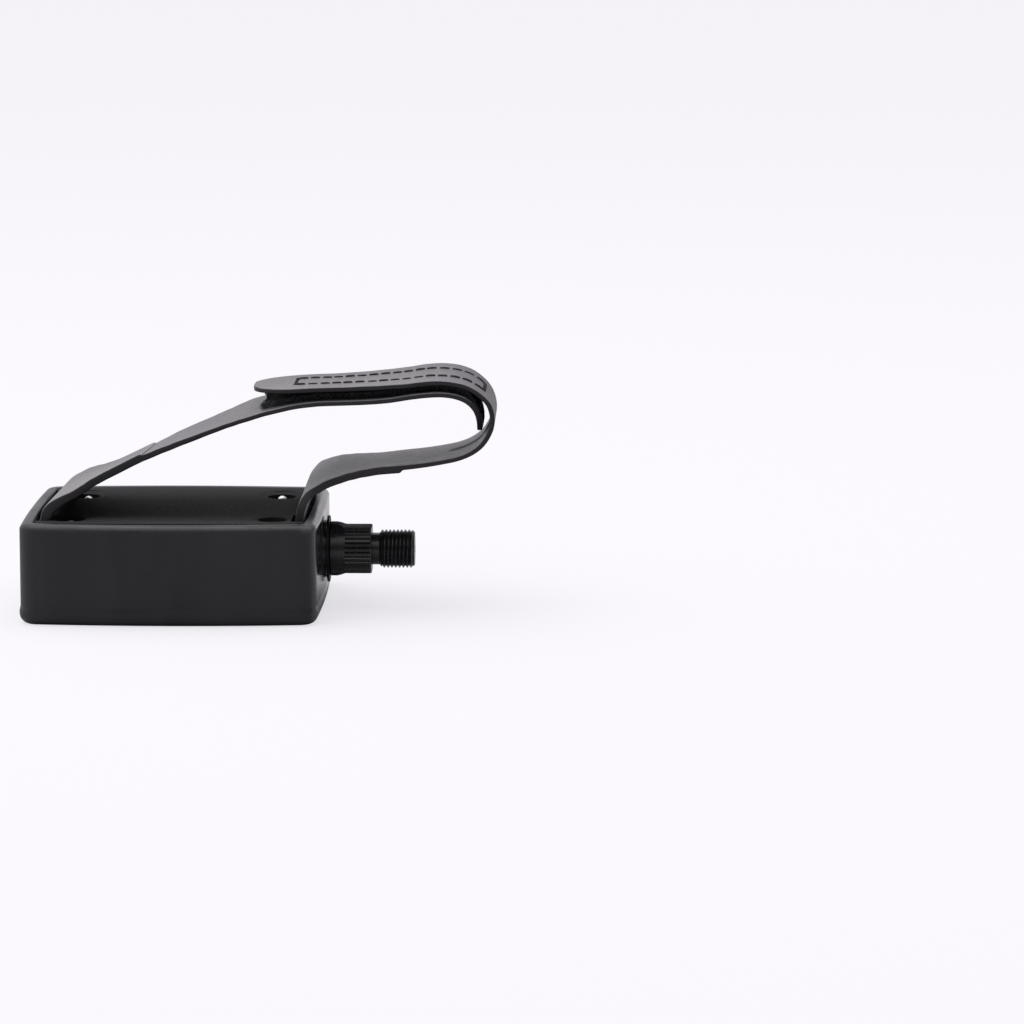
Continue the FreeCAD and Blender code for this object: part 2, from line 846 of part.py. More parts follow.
def strap_solid(path, side, step_cut, plans, root_x):
    # Thin band, thicker base up to the step, flare in plan, and tabs
    band = strip(path, 0, side * strap_thickness, strap_base_width)
    base = strip(path, 0, side * strap_base_thickness, strap_base_width).common(step_cut)
    strap = band.fuse(base).common(plans)
    strap = strap.fuse(tab_heads(path, side * strap_base_thickness))
    return strap.cut(tab_cuts(root_x)).removeSplitter()


def outer_strap():
    path = outer_path()
    far_x = tail_x + strap_base_width
    plans = flared_plan(-strap_inner_x, outer_flare_x, far_x, 0, above_straps)
    step_cut = box(-body_width, outer_step_x, -body_depth, body_depth, 0, above_straps)
    strap = strap_solid(path, 1, step_cut, plans, -strap_inner_x)
    tip_z = body_height + tail_tip_rise
    half = strap_width / 2
    left_x = tail_x - tail_radius
    right_x = tail_x + strap_thickness + 1
    round_z = tip_z + tip_corner_radius
    corners = [
        box(left_x, right_x, *sorted((side * half, side * (half - tip_corner_radius))), tip_z - 1, round_z)
        .cut(
            Part.makeCylinder(
                tip_corner_radius, right_x - left_x,
                Vector(left_x, side * (half - tip_corner_radius), round_z), axis_x,
            )
        )
        for side in (-1, 1)
    ]
    slot = stadium(tail_slot_length, tail_slot_width, right_x - left_x)
    slot.rotate(Vector(0, 0, 0), axis_y, -90)
    slot.translate(Vector(right_x, 0, tip_z + tail_slot_from_tip + tail_slot_length / 2))
    return strap.cut(corners + [slot])


def inner_strap():
    path = inner_path()
    far_x = turn_x + strap_base_width
    lower = flared_plan(strap_inner_x, inner_flare_x, far_x, 0, between_straps)
    upper = tip_block(flap_tip_x, far_x, strap_width, tip_corner_radius)
    step_cut = box(-body_width, inner_step_x, -body_depth, body_depth, 0, between_straps)
    strap = strap_solid(path, -1, step_cut, lower.fuse(upper), strap_inner_x)
    groove = strip(path, 1, -recess_depth, recess_width)
    outline = stadium(recess_length, recess_width, 2 * turn_low_radius)
    outline.rotate(Vector(0, 0, 0), axis_y, -45)
    turn_middle = turn_low_radius * (1 - math.sqrt(0.5))
    outline.translate(Vector(turn_x - turn_middle, 0, body_height + turn_low_rise + turn_middle))
    return strap.cut(groove.common(outline))


def loop_patch():
    # Pile on the outer strap, under the flap
    band = strip(outer_path(), strap_thickness, strap_thickness + loop_thickness, patch_width)
    start_x = half_width - loop_start_inset
    end_x = half_width + loop_end_reach
    return band.common(tip_block(start_x, end_x, patch_width, patch_corner))


def hook_patch():
    # Hooked tape on the flap's foot side
    band = strip(inner_path(), 0, hook_thickness, patch_width)
    start_x = half_width - hook_start_inset
    end_x = half_width + hook_end_reach
    return band.common(tip_block(start_x, end_x, patch_width, patch_corner))


nodes = {
    "body_shell": body_shell(),
    "tread_plate": tread_plate(),
    "deck_screws": deck_screws(),
    "spindle": spindle(),
    "dust_seal": dust_seal(),
    "inboard_cup": ball_cup(inboard_ball_x, 1),
    "inboard_balls": ball_set(inboard_ball_x),
    "outboard_cup": ball_cup(outboard_ball_x, -1),
    "outboard_balls": ball_set(outboard_ball_x),
    "adjusting_cone": adjusting_cone(),
    "lock_washer": lock_washer(),
    "lock_nut": lock_nut(),
    "end_cap": end_cap(),
    "outer_strap": outer_strap(),
    "inner_strap": inner_strap(),
    "loop_patch": loop_patch(),
    "hook_patch": hook_patch(),
}

os.makedirs("parts", exist_ok=True)
for name, shape in nodes.items():
    shape.exportStep("parts/" + name + ".step")
    print(name, len(shape.Solids), "solids", round(shape.Volume), "mm3", shape.isValid())
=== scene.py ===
import bmesh
import bpy
import math
import random
from mathutils import Matrix, Vector


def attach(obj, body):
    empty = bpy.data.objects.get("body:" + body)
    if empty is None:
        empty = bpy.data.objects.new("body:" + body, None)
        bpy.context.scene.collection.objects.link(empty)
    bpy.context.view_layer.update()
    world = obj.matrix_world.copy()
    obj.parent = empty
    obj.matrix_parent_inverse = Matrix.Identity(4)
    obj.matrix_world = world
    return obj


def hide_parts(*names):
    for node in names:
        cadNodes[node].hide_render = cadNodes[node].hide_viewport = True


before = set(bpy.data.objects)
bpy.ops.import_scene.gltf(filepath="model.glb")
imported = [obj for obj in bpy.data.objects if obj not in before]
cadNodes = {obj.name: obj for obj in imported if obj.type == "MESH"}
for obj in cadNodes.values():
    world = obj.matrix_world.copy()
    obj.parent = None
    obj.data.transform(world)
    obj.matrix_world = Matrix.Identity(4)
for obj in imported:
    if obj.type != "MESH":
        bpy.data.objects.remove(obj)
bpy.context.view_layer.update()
mm = 0.001
tiny = 0.001 * mm
print("frame loaded with", len(cadNodes), "nodes")


# Small tools for working in edit mode

def selectOnly(obj):
    bpy.ops.object.select_all(action="DESELECT")
    obj.select_set(True)
    bpy.context.view_layer.objects.active = obj


def openMesh(obj):
    selectOnly(obj)
    bpy.ops.object.mode_set(mode="EDIT")
    bpy.context.tool_settings.mesh_select_mode = (True, False, False)
    bpy.ops.mesh.select_all(action="SELECT")


def closeMesh():
    bpy.ops.object.mode_set(mode="OBJECT")


def addShape(operator, **settings):
    bpy.ops.object.select_all(action="DESELECT")
    operator(**settings)
    return bpy.context.object


def placeObject(name, data):
    obj = bpy.data.objects.new(name, data)
    bpy.context.scene.collection.objects.link(obj)
    return obj


def movePicked(x, y, z):
    bpy.ops.transform.translate(value=(x, y, z))


def turnPicked(angle, axis):
    bpy.ops.transform.rotate(value=angle, orient_axis=axis, center_override=(0, 0, 0))


def pickVerts(obj, test):
    bpy.context.tool_settings.mesh_select_mode = (True, False, False)
    bpy.ops.mesh.select_all(action="DESELECT")
    mesh = bmesh.from_edit_mesh(obj.data)
    for vert in mesh.verts:
        vert.select = test(vert.co)
    mesh.select_flush_mode()
    bmesh.update_edit_mesh(obj.data)


def pickFaces(obj, test):
    bpy.context.tool_settings.mesh_select_mode = (False, False, True)
    bpy.ops.mesh.select_all(action="DESELECT")
    mesh = bmesh.from_edit_mesh(obj.data)
    for face in mesh.faces:
        face.select_set(test(face.calc_center_median()))
    bmesh.update_edit_mesh(obj.data)


def facesOutward(obj):
    openMesh(obj)
    bpy.ops.mesh.remove_doubles(threshold=0.01 * tiny)
    bpy.ops.mesh.normals_make_consistent(inside=False)
    closeMesh()


def roundEdges(obj, width, segments, angle):
    bevel = obj.modifiers.new("roundEdges", "BEVEL")
    bevel.width = width
    bevel.segments = segments
    bevel.limit_method = "ANGLE"
    bevel.angle_limit = math.radians(angle)
    bevel.use_clamp_overlap = False
    applyLast(obj)


def applyLast(obj):
    selectOnly(obj)
    bpy.ops.object.modifier_apply(modifier=obj.modifiers[-1].name)


def cutAway(obj, cutter):
    cut = obj.modifiers.new("cutAway", "BOOLEAN")
    cut.operation = "DIFFERENCE"
    cut.solver = "EXACT"
    cut.object = cutter
    applyLast(obj)
    bpy.data.objects.remove(cutter)


def joinAll(pieces, name):
    bpy.ops.object.select_all(action="DESELECT")
    for piece in pieces:
        piece.select_set(True)
    bpy.context.view_layer.objects.active = pieces[0]
    bpy.ops.object.join()
    pieces[0].name = name
    return pieces[0]


def smoothFinish(obj, angle=40):
    selectOnly(obj)
    bpy.ops.object.shade_smooth_by_angle(angle=math.radians(angle))


def smoothStep(t):
    t = min(max(t, 0), 1)
    return t * t * (3 - 2 * t)


# Strap lines: smooth curves through knots, seen from the front

def smoothLine(knots, spacing=0.4 * mm):
    spots = [Vector((x, 0, z)) * mm for x, z in knots]
    spots = [2 * spots[0] - spots[1]] + spots + [2 * spots[-1] - spots[-2]]
    points = [spots[1]]
    for a, b, c, d in zip(spots, spots[1:], spots[2:], spots[3:]):
        before, here, after = [math.sqrt((q - p).length) for p, q in ((a, b), (b, c), (c, d))]
        leave = ((b - a) / before - (c - a) / (before + here)) * here + (c - b)
        arrive = ((d - c) / after - (d - b) / (here + after)) * here + (c - b)
        steps = max(2, round((c - b).length / spacing))
        for i in range(1, steps + 1):
            t = i / steps
            points.append(
                b * (1 + t * t * (2 * t - 3)) + c * (t * t * (3 - 2 * t))
                + leave * (t * (1 - t) ** 2) - arrive * (t * t * (1 - t))
            )
    return points


def lineLength(points, stop=None):
    pairs = list(zip(points, points[1:]))[:stop]
    return sum((b - a).length for a, b in pairs)


def lengthAt(points, test):
    # Distance along the line to the first point that passes
    return lineLength(points, next(i for i, p in enumerate(points) if test(p)))


def lengthUntil(points, test):
    # Distance along the line to the last point that passes
    return lineLength(points, max(i for i, p in enumerate(points) if test(p)))


def pointAt(points, distance):
    travelled = 0
    for a, b in zip(points, points[1:]):
        travelled += (b - a).length
        if travelled >= distance:
            return b
    return points[-1]


def guideCurve(points, quarterTurn, twist=None):
    # Curve that a flat piece is bent along; the tilt stands its top outwards
    data = bpy.data.curves.new("guide", "CURVE")
    data.dimensions = "3D"
    data.twist_mode = "MINIMUM"
    spline = data.splines.new("POLY")
    spline.points.add(len(points) - 1)
    for knot, point in zip(spline.points, points):
        knot.co = (*point, 1)
        knot.tilt = quarterTurn + (twist(point) if twist else 0)
    return placeObject("guide", data)


def bendAlong(obj, guide):
    bend = obj.modifiers.new("bend", "CURVE")
    bend.object = guide
    bend.deform_axis = "POS_X"
    applyLast(obj)


def growSheet(name, rows, columns):
    # Flat sheet: its far edge is pulled out row by row and set to each row's width
    (first, firstHalf), (second, secondHalf) = rows[:2]
    sheet = addShape(bpy.ops.mesh.primitive_grid_add, x_subdivisions=1, y_subdivisions=columns, size=1)
    sheet.name = name
    openMesh(sheet)
    middle = (first + second) / 2
    bpy.ops.transform.resize(value=(second - first, 2 * firstHalf, 1))
    movePicked(middle, 0, 0)
    pickVerts(sheet, lambda co: co.x > middle)
    bpy.ops.transform.resize(value=(1, secondHalf / firstHalf, 1), center_override=(second, 0, 0))
    for (before, halfBefore), (here, half) in zip(rows[1:], rows[2:]):
        bpy.ops.mesh.extrude_region_move(TRANSFORM_OT_translate={"value": (here - before, 0, 0)})
        if half != halfBefore:
            bpy.ops.transform.resize(value=(1, half / halfBefore, 1), center_override=(here, 0, 0))
    closeMesh()
    return sheet


def raiseSheet(sheet, bottom, top):
    # Gives the sheet its thickness, from bottom to top
    openMesh(sheet)
    movePicked(0, 0, bottom)
    bpy.ops.mesh.extrude_region_move(TRANSFORM_OT_translate={"value": (0, 0, top - bottom)})
    closeMesh()
    facesOutward(sheet)


def rowPlaces(start, end, spacing, extra=()):
    count = max(1, round((end - start) / spacing))
    places = [start + (end - start) * i / count for i in range(count + 1)]
    places = [p for p in places if all(abs(p - e) > spacing * 0.4 for e in extra)]
    return sorted(set(places) | {e for e in extra if start <= e <= end} | {start, end})


def roundedTip(half, radius, fromTip):
    # Half width of a strap whose end corners have this radius
    if fromTip >= radius:
        return half
    return half - radius + math.sqrt(max(radius ** 2 - (radius - fromTip) ** 2, 0))


def tipPlaces(end, radius, count=9):
    # Rows that crowd towards a rounded tip
    return [end - radius * (1 - math.sin(math.pi / 2 * i / count)) for i in range(count)]


def stadiumCutter(place, length, width, low, high, slope=0):
    # Round-ended bar for slots and recesses, stretched from a cylinder; slope draws its top in
    cutter = addShape(bpy.ops.mesh.primitive_cylinder_add, vertices=48, radius=width / 2, depth=high - low)
    openMesh(cutter)
    middle = (low + high) / 2
    movePicked(0, 0, middle)
    stretch = (length - width) / 2
    for side in (-1, 1):
        pickVerts(cutter, lambda co: co.x * side > tiny)
        movePicked(side * stretch, 0, 0)
    if slope:
        pickVerts(cutter, lambda co: co.z > middle)
        bpy.ops.transform.resize(
            value=(1 - 2 * slope / length, 1 - 2 * slope / width, 1), center_override=(0, 0, 0)
        )
    bpy.ops.mesh.select_all(action="SELECT")
    movePicked(place, 0, 0)
    closeMesh()
    return cutter


# Straps: modelled flat, along X from the tabs to the tip, then bent along their lines

strapForm = {
    "bandHalf": 18.0 * mm,
    "baseHalf": 31.0 * mm,
    "headHalf": 33.2 * mm,
    "headInner": 13.3 * mm,
    "headEdge": 0.3 * mm,
    "headGapShare": 0.75,
    "flareEase": 0.73,
    "band": 1.6 * mm,
    "base": 2.7 * mm,
    "stepRun": 0.9 * mm,
    "headTop": 29.1 * mm,
    "tabFoot": 32.5 * mm,
    "bulgeRise": 4.0 * mm,
    "bulgeFall": 8.0 * mm,
    "tipRadius": 15.5 * mm,
    "edgeRound": 0.42 * mm,
    "edgeSegments": 3,
    "edgeAngle": 40,
    "rowSpacing": 1.1 * mm,
    "columns": 16,
}

outerForm = {
    "knots": [
        (-40.8, 24.1), (-40.8, 26.0), (-40.8, 27.6), (-40.2, 30.0), (-39.0, 32.2), (-37.6, 34.2),
        (-35.6, 36.2), (-32.2, 38.5), (-27.3, 40.9), (-19.5, 44.4), (-11.4, 48.4), (0.8, 54.2),
        (8.8, 57.65), (16.9, 61.1), (24.9, 64.2), (31.4, 66.0), (39.2, 67.5), (47.1, 68.4),
        (54.9, 68.7), (62.8, 69.0), (70.6, 69.6), (78.4, 70.8), (84, 71.4), (88.5, 71.5),
        (93, 70.75), (96.3, 69.1), (98.4, 66.5), (99.3, 63.3), (99.4, 58.8),
    ],
    "twist": [
        (-41, 0), (-39.5, -0.5), (-37.5, -0.8), (-34, -0.4), (-31, 0), (-28, -0.4), (-25, -1.2),
        (-20, -1.7), (-10, -1.8), (-5, -1.3), (1, -0.6), (9, -0.1),
        (17, 0.45), (21, 0.95), (25, 1.4), (32, 1.0), (42, 0.2), (50, 0),
    ],
    "twistBelow": 75.0 * mm,
    "flapTwist": [],
    "rootBulge": 0.9 * mm,
    "stepX": -9.3 * mm,
    "stepSlant": 1.2,
    "slantReach": 9.0 * mm,
    "seamWidth": 0.34 * mm,
    "seamDepth": 0.55 * mm,
    "bladeLength": 60.0 * mm,
    "bladeHeight": 6.0 * mm,
    "stepRest": 0.5 * mm,
    "restRun": 34.0 * mm,
    "flareX": -10.8 * mm,
    "slotLength": 7.0 * mm,
    "slotWidth": 4.5 * mm,
    "slotFromTip": 3.5 * mm,
    "slotLow": -2.0 * mm,
    "slotHigh": 4.0 * mm,
    "splitMargin": 0.2 * mm,
}

innerForm = {
    "knots": [
        (40.8, 24.1), (40.8, 26.5), (40.8, 29), (40.9, 32.5), (41.4, 36.5), (42.7, 40), (45.2, 42.8),
        (48.9, 44.9), (53, 46.3), (57, 47.2), (61, 47.8), (65, 48.25), (69, 48.7), (73, 49.1),
        (77, 49.5), (81, 49.95), (85, 50.5), (89, 51.2), (93, 52.1), (97, 53.7), (100.3, 56.1),
        (102.4, 59), (103.6, 62), (103.75, 65.2), (102.6, 69), (100, 72), (96.3, 74.45),
        (92.6, 75.6), (88.5, 76.1), (85, 76.1), (81.2, 75.75), (77.2, 75.15), (69.2, 74.35),
        (61.1, 73.75), (53.1, 73.3), (45, 73), (37.1, 72.55), (31, 72.25), (25.8, 72.0),
    ],
    "twist": [(43, 0), (48, 1.2), (54, 1.8), (58, 1.1), (62, 0.3), (67, -0.3), (76, 0)],
    "twistBelow": 60.0 * mm,
    "flapTwist": [
        (50, 0), (61, 0.3), (69, 0.7), (77, 1.1), (82, 1.3), (92, 1.4), (96.5, 1.1), (100, 0.7), (103.6, 0),
    ],
    "rootBulge": 0.0,
    "stepX": 74.0 * mm,
    "stepSlant": 0.0,
    "stepRest": 0.2 * mm,
    "restRun": 16.0 * mm,
    "flareX": 56.8 * mm,
    "recessX": 100.0 * mm,
    "recessLength": 24.0 * mm,
    "recessWidth": 8.8 * mm,
    "recessDepth": 0.5 * mm,
    "recessSlope": 1.3 * mm,
}


def flareHalf(x, rootX, flareX):
    # The base narrows to the band in an S, quicker near the root
    share = max((x - rootX) / (flareX - rootX), 0) ** strapForm["flareEase"]
    wide, narrow = strapForm["baseHalf"], strapForm["bandHalf"]
    return wide + (narrow - wide) * smoothStep(share)


def liftRow(sheet, place, height):
    # Raises the top of one row across the flat strap
    pickVerts(sheet, lambda co: abs(co.x - place) < tiny and co.z > strapForm["band"] / 2)
    movePicked(0, 0, height)


def flatStrap(name, points, form):
    rootX = points[0].x
    end = lineLength(points)
    headEnd = lengthAt(points, lambda p: p.z > strapForm["headTop"])
    footEnd = lengthAt(points, lambda p: p.z > strapForm["tabFoot"])
    flareEnd = lengthAt(points, lambda p: p.x > form["flareX"])
    stepEnd = lengthAt(points, lambda p: p.x > form["stepX"])
    stepRows = (stepEnd, stepEnd + strapForm["stepRun"])
    extra = [headEnd, headEnd + strapForm["headEdge"], footEnd, *stepRows]
    extra += tipPlaces(end, strapForm["tipRadius"])
    straight = end - strapForm["tipRadius"]
    places = rowPlaces(0, straight, strapForm["rowSpacing"], extra)
    places += [p for p in extra if p > straight] + [end]
    rows = []
    for place in sorted(set(places)):
        half = roundedTip(strapForm["bandHalf"], strapForm["tipRadius"], end - place)
        if place < flareEnd:
            half = flareHalf(pointAt(points, place).x, rootX, form["flareX"])
        if place <= headEnd:
            half = strapForm["headHalf"]
        rows.append((place, half))
    sheet = growSheet(name, rows, strapForm["columns"])

    openMesh(sheet)
    headColumn = strapForm["headHalf"] / 2
    pickVerts(sheet, lambda co: co.x < headEnd + tiny and abs(abs(co.y) - headColumn) < 10 * tiny)
    bpy.ops.transform.resize(value=(1, strapForm["headInner"] / headColumn, 1), center_override=(0, 0, 0))
    gap = strapForm["baseHalf"] / 2
    headGap = gap * strapForm["headGapShare"]
    pickFaces(sheet, lambda co: co.x < footEnd and abs(co.y) < (headGap if co.x < headEnd else gap))
    bpy.ops.mesh.delete(type="FACE")
    closeMesh()

    raiseSheet(sheet, 0, strapForm["band"])
    openMesh(sheet)
    pickVerts(sheet, lambda co: co.x < stepEnd + tiny and co.z > strapForm["band"] / 2)
    movePicked(0, 0, strapForm["base"] - strapForm["band"])
    rise, fall = strapForm["bulgeRise"], strapForm["bulgeFall"]
    bulgeStart = footEnd - rise / 2
    bulgeTop = footEnd + rise / 2
    for place in places:
        if form["rootBulge"] and bulgeStart < place < bulgeTop + fall:
            swell = smoothStep((place - bulgeStart) / rise) * (1 - smoothStep((place - bulgeTop) / fall))
            liftRow(sheet, place, swell * form["rootBulge"])
    for place in places:
        if stepEnd + tiny < place < stepEnd + form["restRun"]:
            rest = 1 - smoothStep((place - stepEnd) / form["restRun"])
            liftRow(sheet, place, rest * form["stepRest"])
    if form["stepSlant"]:
        pickVerts(sheet, lambda co: min(abs(co.x - row) for row in stepRows) < tiny)
        bpy.ops.transform.rotate(
            value=math.radians(form["stepSlant"]), orient_axis="Z", center_override=(stepEnd, 0, 0),
            use_proportional_edit=True, proportional_edit_falloff="SMOOTH",
            proportional_size=form["slantReach"],
        )
    closeMesh()
    roundEdges(sheet, strapForm["edgeRound"], strapForm["edgeSegments"], strapForm["edgeAngle"])
    return sheet, end


def riseAt(knots, x):
    if not knots or not knots[0][0] < x < knots[-1][0]:
        return 0
    after = next(i for i, knot in enumerate(knots) if knot[0] >= x)
    (x0, h0), (x1, h1) = knots[after - 1], knots[after]
    return h0 + (h1 - h0) * smoothStep((x - x0) / (x1 - x0))


def twistOf(form):
    # How much higher the band's far edge lies than its near edge, along X
    def twist(point):
        onFlap = point.z > form["twistBelow"]
        rise = riseAt(form["flapTwist"] if onFlap else form["twist"], point.x / mm)
        turn = math.atan(rise * mm / (2 * strapForm["bandHalf"]))
        return -turn if onFlap else turn
    return twist


outerLine = smoothLine(outerForm["knots"])
innerLine = smoothLine(innerForm["knots"])
outerGuide = guideCurve(outerLine, -math.pi / 2, twistOf(outerForm))
innerGuide = guideCurve(innerLine, math.pi / 2, twistOf(innerForm))


def splitAcross(obj, start, end):
    # Cuts rows into large faces, so that they bend smoothly
    openMesh(obj)
    for place in rowPlaces(start, end, strapForm["rowSpacing"]):
        bpy.ops.mesh.select_all(action="SELECT")
        bpy.ops.mesh.bisect(plane_co=(place, 0, 0), plane_no=(1, 0, 0), threshold=0.1 * tiny)
    closeMesh()


cornerLightForm = {
    "edgeFrom": 0.35,
    "edgeRun": 0.4,
    "cornerFrom": 0.2,
    "cornerTo": 0.85,
    "upFrom": 0.35,
    "upRun": 0.3,
    "downRun": 0.4,
}


def markEdges(strap):
    # Keeps which faces are cut edge and which are rounded corner, while the strap is still flat
    edge = strap.data.attributes.new("edgeShare", "FLOAT", "FACE")
    for face, value in zip(strap.data.polygons, edge.data):
        value.value = smoothStep((face.normal.xy.length - cornerLightForm["edgeFrom"]) / cornerLightForm["edgeRun"])
    corner = strap.data.attributes.new("cornerLightShare", "FLOAT", "FACE")
    for face, value in zip(strap.data.polygons, corner.data):
        value.value = float(cornerLightForm["cornerFrom"] < face.normal.xy.length < cornerLightForm["cornerTo"])


def markCornerLight(strap):
    # Corners that look up once the strap is bent get a painted highlight, those that look down a painted
    # shade
    for face, value in zip(strap.data.polygons, strap.data.attributes["cornerLightShare"].data):
        up = smoothStep((face.normal.z - cornerLightForm["upFrom"]) / cornerLightForm["upRun"])
        value.value *= up - smoothStep(-face.normal.z / cornerLightForm["downRun"])


def bentStrap(strap, guide):
    markEdges(strap)
    bendAlong(strap, guide)
    markCornerLight(strap)
    smoothFinish(strap)
    return strap


def seamCutter(place):
    # Thin blade that scores the line at the foot of the step
    blade = addShape(bpy.ops.mesh.primitive_cube_add, size=1)
    openMesh(blade)
    height = outerForm["bladeHeight"]
    bpy.ops.transform.resize(value=(outerForm["seamWidth"], outerForm["bladeLength"], height))
    turnPicked(math.radians(outerForm["stepSlant"]), "Z")
    lowest = strapForm["band"] + outerForm["stepRest"] - outerForm["seamDepth"]
    movePicked(place, 0, lowest + height / 2)
    closeMesh()
    return blade


def makeOuterStrap():
    strap, end = flatStrap("outerStrapVinyl", outerLine, outerForm)
    stepFoot = lengthAt(outerLine, lambda p: p.x > outerForm["stepX"]) + strapForm["stepRun"]
    cutAway(strap, seamCutter(stepFoot))
    length = outerForm["slotLength"]
    middle = end - outerForm["slotFromTip"] - length / 2
    cutAway(strap, stadiumCutter(
        middle, length, outerForm["slotWidth"], outerForm["slotLow"], outerForm["slotHigh"]
    ))
    splitAcross(strap, middle - length, end - outerForm["splitMargin"])
    return bentStrap(strap, outerGuide)


def makeInnerStrap():
    strap = flatStrap("innerStrapVinyl", innerLine, innerForm)[0]
    middle = lengthAt(innerLine, lambda p: p.x > innerForm["recessX"])
    length = innerForm["recessLength"]
    depth = innerForm["recessDepth"]
    cutAway(strap, stadiumCutter(
        middle, length, innerForm["recessWidth"], -depth, depth, innerForm["recessSlope"]
    ))
    splitAcross(strap, middle - length / 2, middle + length / 2)
    return bentStrap(strap, innerGuide)


outerStrap = makeOuterStrap()
innerStrap = makeInnerStrap()
print("straps bent:", len(outerStrap.data.polygons), len(innerStrap.data.polygons))


# Stitching: one thread loop, repeated round a rectangle on the flap

stitchForm = {
    "length": 3.2 * mm,
    "pitch": 3.9 * mm,
    "width": 1.35 * mm,
    "height": 1.05 * mm,
    "uneven": 0.16 * mm,
    "upDown": (-0.8, 0.4),
    "rowHalf": 7.6 * mm,
    "rowMiddle": -0.4 * mm,
    "nearTipX": 39.4 * mm,
    "turnZ": 71.4 * mm,
}


def oneStitch():
    stitch = addShape(bpy.ops.mesh.primitive_uv_sphere_add, segments=12, ring_count=6, radius=1)
    stitch.name = "stitchRow"
    openMesh(stitch)
    turnPicked(math.pi / 2, "Y")
    tip = stitchForm["width"] / 2
    bpy.ops.transform.resize(value=(tip, tip, stitchForm["height"] / 2))
    for side in (-1, 1):
        pickVerts(stitch, lambda co: co.x * side > tiny)
        movePicked(side * (stitchForm["length"] / 2 - tip), 0, 0)
    closeMesh()
    return stitch


def stitchRow(start, end, crosswise):
    # A run of stitches between two flat places, and how many there are
    span = Vector(end) - Vector(start)
    count = max(1, round(span.length / stitchForm["pitch"]))
    stitch = oneStitch()
    openMesh(stitch)
    if crosswise:
        turnPicked(math.pi / 2, "Z")
    movePicked(*(Vector(start) + span / count / 2))
    closeMesh()
    repeat = stitch.modifiers.new("repeat", "ARRAY")
    repeat.count = count
    repeat.use_relative_offset = False
    repeat.use_constant_offset = True
    repeat.constant_offset_displace = span / count
    applyLast(stitch)
    return stitch, count


def makeStitching():
    tipSide = lengthUntil(innerLine, lambda p: p.x > stitchForm["nearTipX"])
    turnSide = lengthAt(innerLine, lambda p: p.z > stitchForm["turnZ"])
    top = strapForm["band"]
    low = -stitchForm["rowMiddle"] - stitchForm["rowHalf"]
    high = -stitchForm["rowMiddle"] + stitchForm["rowHalf"]
    sewn = [stitchRow((turnSide, y, top), (tipSide, y, top), False) for y in (low, high)]
    sewn += [stitchRow((x, low, top), (x, high, top), True) for x in (turnSide, tipSide)]
    stitching = joinAll([row for row, count in sewn], "flapStitching")
    single = len(stitching.data.vertices) // sum(count for row, count in sewn)
    draw = random.Random(3)
    for first in range(0, len(stitching.data.vertices), single):
        nudge = Vector((draw.uniform(-1, 1), draw.uniform(-1, 1), draw.uniform(*stitchForm["upDown"])))
        for vert in stitching.data.vertices[first:first + single]:
            vert.co += nudge * stitchForm["uneven"]
    bendAlong(stitching, innerGuide)
    smoothFinish(stitching, 80)
    return stitching


stitching = makeStitching()
print("stitching sewn:", len(stitching.data.polygons))


# Pile and hooked tape between the straps

patchForm = {
    "half": 12.5 * mm,
    "rowSpacing": 1.0 * mm,
    "columns": 24,
}

pileForm = {
    "startX": 29.5 * mm,
    "thinFromX": 94.0 * mm,
    "thinRun": 5.0 * mm,
    "tailX": 98.0 * mm,
    "tailZ": 61.2 * mm,
    "thickness": 1.9 * mm,
    "tailThickness": 0.45 * mm,
    "ragged": 1.6 * mm,
    "raggedReach": 4,
    "raggedShare": 0.5,
    "sideUneven": 0.15 * mm,
    "topUneven": 0.12 * mm,
    "loops": 1500,
    "nearShare": 0.42,
    "sidesShare": 0.84,
    "frontSpread": (-0.6 * mm, 1.2 * mm),
    "loopSize": 0.55 * mm,
    "yarnRadius": 0.11 * mm,
    "loopScale": (0.6, 1.1),
    "loopDepth": 0.6,
    "loopHeight": 0.8,
    "loopAbove": 0.2 * mm,
}

tapeForm = {
    "startX": 38.0 * mm,
    "turnX": 101.5 * mm,
    "flapZ": 65.0 * mm,
    "thickness": 1.1 * mm,
}


def flatPatch(name, start, end, bottom, top):
    rows = [(place, patchForm["half"]) for place in rowPlaces(start, end, patchForm["rowSpacing"])]
    patch = growSheet(name, rows, patchForm["columns"])
    raiseSheet(patch, bottom, top)
    return patch


def oneLoop():
    # Ring of yarn, a few faces only
    loop = addShape(
        bpy.ops.mesh.primitive_torus_add, major_segments=8, minor_segments=3,
        major_radius=pileForm["loopSize"], minor_radius=pileForm["yarnRadius"],
    )
    openMesh(loop)
    turnPicked(math.pi / 2, "X")
    closeMesh()
    return loop


def makeLoops(draw, start, end, bottom, top):
    # Rings of yarn along both sides and the front of the pile
    half = patchForm["half"]
    yarn = oneLoop()
    ring = [vert.co.copy() for vert in yarn.data.vertices]
    faces = [list(face.vertices) for face in yarn.data.polygons]
    bpy.data.objects.remove(yarn)
    verts = []
    quads = []
    for i in range(pileForm["loops"]):
        side = draw.random()
        if side < pileForm["sidesShare"]:
            y = -half if side < pileForm["nearShare"] else half
            x = draw.uniform(start, end)
        else:
            y = draw.uniform(-half, half)
            hollow = pileForm["ragged"] * (1 - (y / half) ** 2)
            x = start + hollow + draw.uniform(*pileForm["frontSpread"])
        place = Vector((x, y, draw.uniform(bottom, top)))
        turn = draw.uniform(0, math.pi)
        size = draw.uniform(*pileForm["loopScale"])
        base = len(verts)
        for co in ring:
            x = co.x * math.cos(turn) - co.y * math.sin(turn)
            y = co.x * math.sin(turn) + co.y * math.cos(turn)
            spot = place + Vector((x, y * pileForm["loopDepth"], co.z * pileForm["loopHeight"])) * size
            spot.z = min(max(spot.z, bottom), top + pileForm["loopAbove"])
            verts.append(spot)
        quads += [[base + k for k in face] for face in faces]
    mesh = bpy.data.meshes.new("pileLoops")
    mesh.from_pydata(verts, [], quads)
    return placeObject("pileLoops", mesh)


